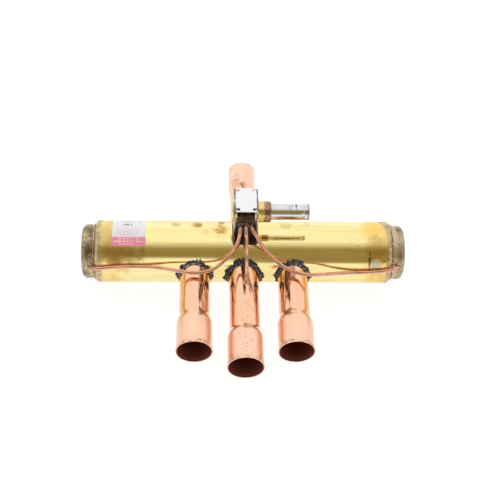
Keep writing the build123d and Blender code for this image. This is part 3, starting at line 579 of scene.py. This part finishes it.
brass_finish = body_brass()
cap_finish = cap_brass()
copper_finish = stub_copper()
inside_finish = stub_inside()
capillary_finish = capillary_copper()
braze_finish = burnt_braze()
foot_finish = foot_scale()
bead_finish = braze_metal()
zinc_finish = zinc_steel()
pilot_finish = pilot_brass()
seat_finish = burnt_brass()
stem_finish = stainless()
iron_finish = turned_steel("core_iron", (0.30, 0.30, 0.31), (0.52, 0.52, 0.54))
spring_finish = turned_steel("spring_steel", (0.42, 0.42, 0.44), (0.66, 0.66, 0.68))
machined_finish = machined_brass()
nylon_finish = plastic("slider_nylon", (0.70, 0.67, 0.56), (0.80, 0.78, 0.70))
ptfe_finish = plastic("seal_ptfe", (0.74, 0.74, 0.72), (0.85, 0.85, 0.83))
label_finish = label_film()


# ------------------------------------------------------------------ making meshes

def piece(name, bm, finishes, replaced=(), sharp=35, body=BODY, recalc=True):
    """Turns a bmesh into a named piece that rides on the body."""
    bmesh.ops.remove_doubles(bm, verts=bm.verts, dist=0.002 * MM)
    if recalc:
        bmesh.ops.recalc_face_normals(bm, faces=bm.faces)
    mesh = bpy.data.meshes.new(name)
    bm.to_mesh(mesh)
    bm.free()
    return dress(name, mesh, finishes, replaced, sharp, body)


def dress(name, mesh, finishes, replaced=(), sharp=35, body=BODY):
    mesh.shade_smooth()
    mesh.set_sharp_from_angle(angle=radians(sharp))
    obj = bpy.data.objects.new(name, mesh)
    scene.collection.objects.link(obj)
    for finish in finishes:
        mesh.materials.append(finish)
    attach(obj, body)
    if replaced:
        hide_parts(*replaced)
    return obj


def arc(middle, radius, start, end, steps):
    """Points of an arc, (along, outward) pairs, angles in degrees from the along axis."""
    points = []
    for step in range(steps + 1):
        angle = radians(start + (end - start) * step / steps)
        points.append((middle[0] + radius * cos(angle), middle[1] + radius * sin(angle)))
    return points


def ramped(start, end, steps=12):
    """An S-shaped change of radius between two (along, radius) points."""
    points = []
    for step in range(steps + 1):
        t = step / steps
        ease = t * t * (3 - 2 * t)
        points.append((start[0] + (end[0] - start[0]) * t, start[1] + (end[1] - start[1]) * ease))
    return points


def finer(points, pitch):
    """Adds points so that no run of an outline is longer than the pitch."""
    dense = []
    for (a, ra), (b, rb) in zip(points, points[1:]):
        parts = max(1, round(hypot(b - a, rb - ra) / pitch))
        dense += [(a + (b - a) * k / parts, ra + (rb - ra) * k / parts) for k in range(parts)]
    return dense + [points[-1]]


def lathe(points, axis="X", centre=(0, 0, 0), closed=True, steps=TURN_STEPS):
    """Spins an outline of (along, radius) pairs round a line along X or Y."""
    bm = bmesh.new()
    centre = Vector(centre)
    verts = []
    for along, radius in points:
        spot = Vector((along, 0, radius)) if axis == "X" else Vector((0, along, radius))
        verts.append(bm.verts.new(spot + centre))
    ends = verts[1:] + verts[:1] if closed else verts[1:]
    edges = [bm.edges.new(pair) for pair in zip(verts, ends)]
    turn = (1, 0, 0) if axis == "X" else (0, 1, 0)
    bmesh.ops.spin(bm, geom=verts + edges, cent=centre, axis=turn, angle=tau,
                   steps=steps, use_merge=True)
    return bm


def mark_inside(bm, centre, axis, limit=0.1):
    """Gives the faces that look at the axis the second finish."""
    bmesh.ops.remove_doubles(bm, verts=bm.verts, dist=0.002 * MM)
    bmesh.ops.recalc_face_normals(bm, faces=bm.faces)
    for face in bm.faces:
        out = face.calc_center_median() - Vector(centre)
        out[0 if axis == "X" else 1] = 0
        face.material_index = 1 if face.normal.dot(out.normalized()) < -limit else 0


def cut(obj, cutters):
    """Cuts closed shapes out of a piece and keeps the result as its mesh."""
    for cutter in cutters:
        tool = bpy.data.objects.new("cutter", cutter)
        scene.collection.objects.link(tool)
        change = obj.modifiers.new("cut", "BOOLEAN")
        change.operation = "DIFFERENCE"
        change.object = tool
        change.solver = "EXACT"
    settle(obj)
    for tool in [o for o in scene.objects if o.name.startswith("cutter")]:
        bpy.data.objects.remove(tool)


def settle(obj):
    """Bakes a piece's modifiers into its mesh."""
    graph = bpy.context.evaluated_depsgraph_get()
    mesh = bpy.data.meshes.new_from_object(obj.evaluated_get(graph))
    obj.modifiers.clear()
    obj.data = mesh


def bar_mesh(start, end, radius, steps=96):
    """A plain closed bar between two points, used as a cutter."""
    start, end = Vector(start), Vector(end)
    bm = bmesh.new()
    turn = (end - start).to_track_quat("Z", "Y").to_matrix().to_4x4()
    place = Matrix.Translation((start + end) / 2) @ turn
    bmesh.ops.create_cone(bm, cap_ends=True, segments=steps, radius1=radius, radius2=radius,
                          depth=(end - start).length, matrix=place)
    mesh = bpy.data.meshes.new("cutter")
    bm.to_mesh(mesh)
    bm.free()
    return mesh


# ------------------------------------------------------------------ main body

def make_body():
    """The tube with rolled-in ends, bored for its four stubs."""
    drop = BODY_R - CAP_R - 0.05 * MM
    roll_r = (SHOULDER ** 2 + drop ** 2) / (2 * drop)
    straight = BODY_HALF - SHOULDER
    roll_angle = degrees(atan2(SHOULDER, roll_r - drop))
    middle = (straight, BODY_R - roll_r)
    outer = arc(middle, roll_r, 90, 90 - roll_angle, 14)
    inner = arc(middle, roll_r - BODY_WALL, 90 - roll_angle, 90, 10)
    inner = [p for p in inner if p[1] > CAP_R]
    half = outer + [(BODY_HALF - 1.2 * MM, CAP_R + 0.05 * MM)] + inner
    mirrored = [(-a, r) for a, r in reversed(half)]
    outside = finer([mirrored[-1], half[0]], 3 * MM)
    inside = finer([half[-1], mirrored[0]], 6 * MM)
    bm = lathe(mirrored[:-1] + outside + half[1:-1] + inside[:-1], "X")
    tube = piece("body_shell", bm, [brass_finish], ["main_body_tube"])
    holes = [bar_mesh((x, -0.5 * BODY_R, 0), (x, -1.5 * BODY_R, 0), STUB_R + 0.05 * MM)
             for x in (-PORT_PITCH, 0, PORT_PITCH)]
    holes.append(bar_mesh((0, 0.5 * BODY_R, 0), (0, 1.5 * BODY_R, 0), DISCHARGE_R + 0.05 * MM))
    cut(tube, holes)
    tube.data.shade_smooth()
    tube.data.set_sharp_from_angle(angle=radians(30))


def make_cap(side):
    """A drawn cup: a rounded face, a waist, and the flange hidden under the roll."""
    neck = BODY_HALF + 1.2 * MM
    bend = (CAP_FACE - CAP_CORNER, CAP_R - CAP_CORNER)
    outline = [(CAP_FACE, 0), (CAP_FACE, 6 * MM), (CAP_FACE, 13 * MM)]
    outline += arc(bend, CAP_CORNER, 0, 90, 16)
    outline += [(neck + 3 * MM, CAP_R), (neck + 1.6 * MM, CAP_R - 0.25 * MM),
                (neck, CAP_R - 0.3 * MM), (BODY_HALF - 2 * MM, CAP_R - 0.1 * MM),
                (FLANGE_START, CAP_R - 0.1 * MM), (FLANGE_START, CAP_R - CAP_WALL)]
    outline += arc(bend, CAP_CORNER - CAP_WALL, 90, 0, 6)
    outline += [(CAP_FACE - CAP_WALL, 0)]
    bm = lathe([(side * a, r) for a, r in outline], "X", closed=False)
    name = "right" if side > 0 else "left"
    piece(f"{name}_cap_shell", bm, [cap_finish], [f"{name}_end_cap"])


def make_cap_bead(side):
    """The thin uneven bead of braze in the groove behind a cap."""
    foot = CAP_R + 0.05 * MM
    start = BODY_HALF + 0.05 * MM
    outline = [(start, foot - 0.2 * MM), (start, foot + 0.8 * MM)]
    outline += arc((start + 0.5 * MM, foot + 0.55 * MM), 0.55 * MM, 150, 50, 6)
    outline += [(start + 1.05 * MM, foot + 0.7 * MM), (start + 1.25 * MM, foot + 0.3 * MM),
                (start + 1.4 * MM, foot), (start + 1.4 * MM, foot - 0.2 * MM)]
    bm = lathe([(side * a, r) for a, r in outline], "X")
    for vert in bm.verts:
        lump = noise.noise(vert.co * 160) * 0.22 * MM
        radial = Vector((0, vert.co.y, vert.co.z)).normalized()
        vert.co += radial * lump
    name = "right" if side > 0 else "left"
    piece(f"{name}_cap_bead", bm, [bead_finish], [f"{name}_cap_braze"], sharp=60)


# ------------------------------------------------------------------ stubs

def make_stub(name, x, root, taper, mouth, tube, bore, socket, socket_outer, bell, node):
    """A drawn stub with a swaged socket, its lip rounded, its inside dark."""
    way = 1 if mouth > root else -1
    lip = 0.35 * MM
    lip_outer, lip_inner = socket_outer + bell, socket + bell
    flare = mouth - way * BELL_LENGTH
    outline = [(root, tube), (taper[0], tube)]
    outline += ramped((taper[0], tube), (taper[1], socket_outer))[1:]
    outline += ramped((flare, socket_outer), (mouth - way * lip, lip_outer), 6)
    outline += [(mouth - way * 0.1 * MM, lip_outer - 0.1 * MM), (mouth, lip_outer - lip),
                (mouth, lip_inner + lip), (mouth - way * 0.1 * MM, lip_inner + 0.1 * MM)]
    outline += ramped((mouth - way * lip, lip_inner), (flare, socket), 6)
    outline += ramped((taper[1], socket), (taper[0], bore))
    outline += [(root, bore)]
    bm = lathe(finer(outline + outline[:1], 4 * MM)[:-1], "Y", (x, 0, 0), steps=160)
    mark_inside(bm, (x, 0, 0), "Y")
    obj = piece(name, bm, [copper_finish, inside_finish], [node], sharp=40, recalc=False)
    swage = obj.data.attributes.new("swage", "FLOAT", "POINT")
    heat = obj.data.attributes.new("heat", "FLOAT", "POINT")
    rim = obj.data.attributes.new("rim", "FLOAT", "POINT")
    for vert in obj.data.vertices:
        depth = (vert.co.y - taper[0]) / (taper[1] - taper[0])
        swage.data[vert.index].value = min(1.0, max(0.0, depth))
        rim.data[vert.index].value = max(0.0, 1 - abs(mouth - vert.co.y) / (4 * MM))
        from_body = (abs(vert.co.y) - BODY_R) / (14 * MM)
        heat.data[vert.index].value = min(1.0, max(0.0, 1 - from_body))
    return obj


CRUST_REACH = 5.1 * MM
# Painted highlight: the two ridges below, the bead next to the tube and the line in the middle, are
# painted grey as their highlights.
HIGHLIGHT_RIDGES = ((0.7 * MM, 0.8 * MM), (2.3 * MM, 0.5 * MM))    # where grey shows, and how widely


def make_root_braze(name, x, way, tube, node, seed, spread):
    """A ragged crust of scale and braze hugging both the stub and the round body."""
    bm = bmesh.new()
    section = [(0.02, -1.0), (0.02, 1.7), (0.35, 2.1), (0.8, 1.9), (1.2, 1.2), (1.6, 0.85),
               (2.1, 0.95), (2.6, 0.7), (3.2, 0.5), (3.8, 0.38), (4.4, 0.3), (5.0, 0.12),
               (5.1, -0.5)]
    verts = [bm.verts.new((x + tube + out * MM, way * up * MM, 0)) for out, up in section]
    edges = [bm.edges.new(pair) for pair in zip(verts, verts[1:] + verts[:1])]
    bmesh.ops.spin(bm, geom=verts + edges, cent=(x, 0, 0), axis=(0, 1, 0), angle=tau,
                   steps=360, use_merge=True)
    bmesh.ops.remove_doubles(bm, verts=bm.verts, dist=0.002 * MM)
    for vert in bm.verts:
        out = Vector((vert.co.x - x, 0, vert.co.z))
        turn = atan2(out.z, out.x)
        lean = (out.length - tube) / CRUST_REACH
        around = Vector((cos(turn), sin(turn), seed))
        swell = noise.noise(around * 2.2)
        lumps = noise.noise(around * 5) + 0.5 * noise.noise(around * 11)
        flakes = abs(noise.noise(around * 24)) + 0.6 * abs(noise.noise(around * 52))
        reach = max(0.34, 0.72 * spread + 0.28 * swell + 0.34 * lumps + 0.30 * flakes)
        radius = tube + (out.length - tube) * (1 + (reach - 1) * min(1, lean * 1.6))
        turn += noise.noise(around * 18 + Vector((0, 0, 9))) * 0.10 * lean
        spot = Vector((x + cos(turn) * radius, 0, sin(turn) * radius))
        surface = sqrt(max(BODY_R ** 2 - spot.z ** 2, 0))
        height = abs(vert.co.y) if vert.co.y * way > 0 else -abs(vert.co.y)
        rough = noise.noise(around * 16 + Vector((0, 0, lean * 5))) * 0.7 * MM * (height > 0)
        rough += noise.noise(around * 41 + Vector((0, 0, lean * 9))) * 0.35 * MM * (height > 0)
        vert.co = Vector((spot.x, way * (surface + height + rough), spot.z))
    obj = piece(name, bm, [braze_finish], [node], sharp=80)
    # The crust attribute carries where the painted grey highlight of the ridges goes.
    crust = obj.data.attributes.new("crust", "FLOAT", "POINT")
    for vert in obj.data.vertices:
        out = hypot(vert.co.x - x, vert.co.z) - tube
        near, far = (max(0, 1 - abs(out - rise) / wide) for rise, wide in HIGHLIGHT_RIDGES)
        crust.data[vert.index].value = max(near, 0.7 * far)


# ------------------------------------------------------------------ from the frame's solids

def eased_copy(node, name, finish, width, dissolve=2.0):
    """A copy of a frame solid with its edges eased."""
    bm = bmesh.new()
    bm.from_mesh(frame["nodes"][node].data)
    bmesh.ops.remove_doubles(bm, verts=bm.verts, dist=0.001 * MM)
    bmesh.ops.dissolve_limit(bm, angle_limit=radians(dissolve), verts=bm.verts, edges=bm.edges)
    obj = piece(name, bm, [finish], [node], recalc=False)
    ease = obj.modifiers.new("ease", "BEVEL")
    ease.width = width
    ease.segments = 2
    ease.limit_method = "ANGLE"
    ease.angle_limit = radians(40)
    ease.harden_normals = False
    settle(obj)
    obj.data.shade_smooth()
    obj.data.set_sharp_from_angle(angle=radians(30))
    return obj


# ------------------------------------------------------------------ pilot

def make_pilot_barrel():
    """The turned barrel, with a faint flat-sided collar where the stem goes in."""
    left, right = pilot_low.x, pilot_high.x
    ease = 0.8 * MM
    collar = 16.8 * MM
    outline = [(left, PLUG_R), (left, PILOT_R - ease), (left + ease, PILOT_R),
               (collar - 0.5 * MM, PILOT_R), (collar, PILOT_R - 0.35 * MM),
               (collar + 0.5 * MM, PILOT_R), (right - 1.2 * MM, PILOT_R),
               (right, PILOT_R - 1.2 * MM), (right, STEM_R + 0.05 * MM),
               (STEM_SEAT_X, STEM_R + 0.05 * MM), (STEM_SEAT_X, PLUG_R)]
    bm = lathe(finer(outline + outline[:1], 1.5 * MM)[:-1], "X", (0, 0, PILOT_Z), steps=96)
    for vert in bm.verts:
        out = Vector((0, vert.co.y, vert.co.z - PILOT_Z))
        if vert.co.x > collar and out.length > PILOT_R - 0.4 * MM:
            turn = atan2(out.z, out.y)
            half = pi / 12
            flat = cos(half) / cos((turn % (2 * half)) - half)
            vert.co -= out * (1 - flat) * 0.8
    barrel = piece("pilot_barrel", bm, [pilot_finish], ["pilot_body"], sharp=24)
    window = bpy.data.meshes.new("cutter")
    bm = bmesh.new()
    size = seat_high - seat_low
    middle = (seat_high + seat_low) / 2
    place = Matrix.Translation(middle) @ Matrix.Diagonal((size.x + 0.1 * MM, size.y,
                                                          size.z + 0.1 * MM, 1))
    bmesh.ops.create_cube(bm, size=1, matrix=place)
    bm.to_mesh(window)
    bm.free()
    cut(barrel, [window])
    barrel.data.shade_smooth()
    barrel.data.set_sharp_from_angle(angle=radians(24))


def make_stem_shell():
    """The stainless tube with its closing groove and rolled end."""
    start, end = stem_low.x, stem_high.x
    wall = 0.6 * MM
    outline = [(start, STEM_R - wall), (start, STEM_R), (51.6 * MM, STEM_R)]
    outline += arc((52.2 * MM, STEM_R + 0.15 * MM), 0.55 * MM, 195, 345, 8)
    outline += [(52.9 * MM, STEM_R)]
    outline += arc((end - 0.7 * MM, STEM_R - 0.7 * MM), 0.7 * MM, 90, 0, 6)
    outline += [(end, STEM_R - wall - 0.4 * MM), (end - 0.4 * MM, STEM_R - wall)]
    bm = lathe(finer(outline + outline[:1], 3 * MM)[:-1], "X", (0, 0, PILOT_Z), steps=128)
    piece("stem_shell", bm, [stem_finish], ["pilot_stem"], sharp=30)


# ------------------------------------------------------------------ capillaries

LEFT_ROUTE = (
    (PILOT_X - CAPILLARY_PITCH, SOCKET_Y, EXIT_Z), (PILOT_X - CAPILLARY_PITCH, -18.5, EXIT_Z),
    (-5.8, -21.8, 40.0), (-10.2, -23.6, 29.2), (-17.3, -27.9, 21.8), (-29.2, -37.4, 18.0),
    (-46.0, -40.2, 18.2), (-62.0, -35.8, 16.8), (-80.0, -29.2, 13.2), (-98.5, -28.0, 12.6),
    (-113.5, -28.1, 11.9), (-128.4, -28.6, 10.6), (-140.2, -27.8, 8.0), (-140.2, -21.4, 6.2),
)
RIGHT_ROUTE = (
    (PILOT_X + CAPILLARY_PITCH, SOCKET_Y, EXIT_Z), (PILOT_X + CAPILLARY_PITCH, -16.2, EXIT_Z),
    (11.8, -21.0, 43.0), (16.9, -24.2, 34.0), (24.6, -29.2, 26.4), (36.6, -36.2, 20.6),
    (51.6, -40.9, 18.2), (66.0, -40.2, 16.4), (80.0, -33.2, 9.6), (96.1, -30.2, 7.2),
    (112.0, -29.7, 7.4), (127.0, -29.4, 8.6), (141.2, -27.2, 10.4), (141.2, -20.8, 8.0),
)
SUCTION_ROUTE = (
    (PILOT_X, SOCKET_Y, EXIT_Z), (PILOT_X, -18.8, EXIT_Z), (1.8, -21.8, 36.0),
    (2.1, -28.5, 22.6), (1.4, -46.7, 21.0), (1.4, -46.7, 12.5),
)
DISCHARGE_ROUTE = (
    (1.6, 8.3, 56.0), (1.6, 19.0, 56.0), (2.2, 34.0, 44.0), (2.7, 47.0, 28.0),
    (2.4, 61.0, 20.0), (1.0, 74.5, 18.4), (1.0, 74.5, 11.0),
)


def make_capillary(name, route):
    """A drawn capillary along a smooth line through its route."""
    line = bpy.data.curves.new(f"{name}_line", "CURVE")
    line.dimensions = "3D"
    line.resolution_u = 24
    line.bevel_depth = CAPILLARY_R * MM
    line.bevel_resolution = 7
    line.use_fill_caps = True
    spline = line.splines.new("NURBS")
    spline.points.add(len(route) - 1)
    for point, spot in zip(spline.points, route):
        point.co = (*(v * MM for v in spot), 1)
    spline.order_u = 3
    spline.use_endpoint_u = True
    holder = bpy.data.objects.new(f"{name}_line", line)
    scene.collection.objects.link(holder)
    graph = bpy.context.evaluated_depsgraph_get()
    mesh = bpy.data.meshes.new_from_object(holder.evaluated_get(graph))
    bpy.data.objects.remove(holder)
    bm = bmesh.new()
    bm.from_mesh(mesh)
    piece(f"{name}_tube", bm, [capillary_finish], [name], sharp=50)


def make_tap_bead(name, route, rise):
    """A little collar of braze where a capillary goes in."""
    corner, end = (Vector(spot) * MM for spot in route[-2:])
    run = (end - corner).normalized()
    top = end - run * rise * MM
    bm = bmesh.new()
    points = [(1.55, -0.1), (2.0, 0.15), (2.5, 0.75), (2.95, 1.5), (3.15, 2.3), (3.1, 4.2),
              (1.55, 4.2)]
    turn = run.to_track_quat("Z", "Y").to_matrix()
    verts = [bm.verts.new(top + turn @ Vector((out * MM, 0, down * MM))) for out, down in points]
    edges = [bm.edges.new(pair) for pair in zip(verts, verts[1:] + verts[:1])]
    bmesh.ops.spin(bm, geom=verts + edges, cent=top, axis=run, angle=tau, steps=48, use_merge=True)
    for vert in bm.verts:
        vert.co += Vector(noise.noise_vector(vert.co * 700)) * 0.12 * MM
    piece(name.replace("braze", "bead"), bm, [bead_finish], [name], sharp=70)


# ------------------------------------------------------------------ label

def make_label():
    """The wrapped label, its front corners rounded."""
    width = LABEL_X[1] - LABEL_X[0]
    front = LABEL_FRONT * BODY_R
    back = -LABEL_BACK * BODY_R
    bm = bmesh.new()
    corners = [(LABEL_X[0], front), (LABEL_X[1], front), (LABEL_X[1], back), (LABEL_X[0], back)]
    sheet = bm.faces.new([bm.verts.new((x, s, 0)) for x, s in corners])
    bmesh.ops.bevel(bm, geom=list(sheet.verts), offset=2.2 * MM, offset_type="OFFSET", segments=6,
                    profile=0.5, affect="VERTICES", material=-1)
    for step in range(1, 40):
        spot = back + (front - back) * step / 40
        bmesh.ops.bisect_plane(bm, geom=bm.verts[:] + bm.edges[:] + bm.faces[:],
                               plane_co=(0, spot, 0), plane_no=(0, 1, 0), dist=1e-7)
    for vert in bm.verts:
        angle = vert.co.y / BODY_R
        radius = BODY_R + 0.03 * MM
        vert.co = Vector((vert.co.x, -radius * sin(angle), radius * cos(angle)))
    for face in bm.faces:
        if face.normal.z < 0:
            face.normal_flip()
    obj = piece("label_sheet", bm, [label_finish], ["rating_label"], recalc=False)
    thick = obj.modifiers.new("thickness", "SOLIDIFY")
    thick.thickness = 0.12 * MM
    thick.offset = 1
    settle(obj)
    obj.data.shade_smooth()
    obj.data.set_sharp_from_angle(angle=radians(30))


# ------------------------------------------------------------------ stage

def make_stage():
    """A pale, faintly glowing table that the body lies on."""
    bm = bmesh.new()
    bmesh.ops.create_grid(bm, x_segments=1, y_segments=1, size=6)
    mesh = bpy.data.meshes.new("floor")
    bm.to_mesh(mesh)
    bm.free()
    floor = bpy.data.objects.new("floor", mesh)
    floor.location = (0, 0, body_low.z - 0.2 * MM)
    scene.collection.objects.link(floor)
    paper = bpy.data.materials.new("paper")
    paper.use_nodes = True
    shader = paper.node_tree.nodes["Principled BSDF"]
    shader.inputs["Base Color"].default_value = (0.24, 0.24, 0.24, 1)
    shader.inputs["Roughness"].default_value = 0.9
    shader.inputs["Specular IOR Level"].default_value = 0.0
    shader.inputs["Emission Color"].default_value = (1, 1, 1, 1)
    shader.inputs["Emission Strength"].default_value = 0.88
    mesh.materials.append(paper)


def make_sky():
    """An even white studio, dim and warm in front above the bench and at both sides."""
    world = bpy.data.worlds.new("studio")
    scene.world = world
    world.use_nodes = True
    g = Graph(world.node_tree)
    way = g.node("ShaderNodeTexCoord")["Generated"]
    axes = g.node("ShaderNodeSeparateXYZ", {}, {"Vector": way})
    across = axes["X"]
    lift = axes["Z"].maths("ARCTAN2", axes["Y"] * -1)
    top = g.fall(lift, radians(56), radians(94))
    sill = g.fall((across + 0.03).size(), 0.03, 0.08) * radians(18)
    bottom = g.rise(lift - sill, radians(2), radians(15))
    dim = top * bottom * g.fall(across.size(), 0.45, 0.90)
    dim = (dim + g.rise(across.size(), 0.82, 0.97) * 0.7).clamped()
    tone = g.blend(dim, (1.12, 1.12, 1.12), (0.335, 0.255, 0.12))
    g.tree.links.new(tone.socket, g.tree.nodes["Background"].inputs["Color"])


def make_camera():
    """Looks down on the front of the valve from a little to its left."""
    turn, lift, roll = radians(3.66), radians(50.34), radians(3.08)
    target = Vector((6.4, 2.1, 0)) * MM
    distance = 1.051
    view = Vector((sin(turn) * cos(lift), cos(turn) * cos(lift), -sin(lift)))
    data = bpy.data.cameras.new("camera")
    data.sensor_width = 36
    data.lens = 81.5
    data.clip_start = 0.01
    data.clip_end = 50
    camera = bpy.data.objects.new("camera", data)
    facing = view.to_track_quat("-Z", "Y").to_matrix().to_4x4()
    camera.matrix_world = (Matrix.Translation(target - view * distance) @ facing
                           @ Matrix.Rotation(roll, 4, "Z"))
    scene.collection.objects.link(camera)
    scene.camera = camera


# ------------------------------------------------------------------ assembly

make_camera()
make_stage()
make_sky()

make_body()
for side in (-1, 1):
    make_cap(side)
    make_cap_bead(side)
for label, x, seed in (("left", -PORT_PITCH, 2.3), ("right", PORT_PITCH, 4.1)):
    make_stub(f"{label}_stub_tube", x, STUB_ROOT, SIDE_TAPER, SIDE_MOUTH, STUB_R, STUB_BORE,
              SOCKET_R, SOCKET_OUTER_R, BELL_RISE, f"{label}_port_stub")
    make_root_braze(f"{label}_stub_braze", x, -1, STUB_R, f"{label}_root_braze", seed, 0.75)
make_stub("suction_stub_tube", 0, STUB_ROOT, SUCTION_TAPER, SUCTION_MOUTH, STUB_R, STUB_BORE,
          SOCKET_R, SOCKET_OUTER_R, BELL_RISE, "suction_stub")
make_root_braze("suction_stub_braze", 0, -1, STUB_R, "suction_root_braze", 7.7, 1.15)
make_stub("discharge_stub_tube", 0, discharge_low.y, DISCHARGE_TAPER, DISCHARGE_MOUTH,
          DISCHARGE_R, DISCHARGE_BORE, DISCHARGE_SOCKET_R, DISCHARGE_OUTER_R, 0,
          "discharge_stub")
make_root_braze("discharge_stub_braze", 0, 1, DISCHARGE_R, "discharge_root_braze", 5.3, 0.9)

eased_copy("pilot_bracket", "bracket_sheet", zinc_finish, 0.12 * MM)
eased_copy("bracket_foot", "foot_plate", foot_finish, 0.25 * MM)
eased_copy("pilot_seat", "seat_block", seat_finish, 0.2 * MM)
make_pilot_barrel()
make_stem_shell()

for name, route, rise in (("left", LEFT_ROUTE, 3.6), ("right", RIGHT_ROUTE, 3.6),
                          ("suction", SUCTION_ROUTE, 2.4), ("discharge", DISCHARGE_ROUTE, 2.4)):
    make_capillary(f"{name}_capillary", route)
    make_tap_bead(f"{name}_tap_braze", route, rise)
make_label()

NODE_FINISHES = {
    "port_seat": machined_finish, "main_slider": nylon_finish, "slide_bracket": spring_finish,
    "pilot_end_plug": pilot_finish, "fixed_core": iron_finish, "shading_ring": copper_finish,
    "pilot_plunger": iron_finish, "slider_carrier": machined_finish,
    "pilot_slider": nylon_finish, "pilot_leaf_spring": spring_finish,
    "pilot_return_spring": spring_finish, "foot_braze": braze_finish,
}
for side in ("left", "right"):
    NODE_FINISHES[f"{side}_piston_disc"] = machined_finish
    NODE_FINISHES[f"{side}_piston_clamp"] = machined_finish
    NODE_FINISHES[f"{side}_piston_stop"] = machined_finish
    NODE_FINISHES[f"{side}_piston_seal"] = ptfe_finish
    NODE_FINISHES[f"{side}_piston_spring"] = spring_finish
    NODE_FINISHES[f"{side}_piston_screws"] = spring_finish
for node, finish in NODE_FINISHES.items():
    for slot in frame["nodes"][node].material_slots:
        slot.material = finish

scene.view_settings.view_transform = "Standard"
scene.view_settings.look = "None"
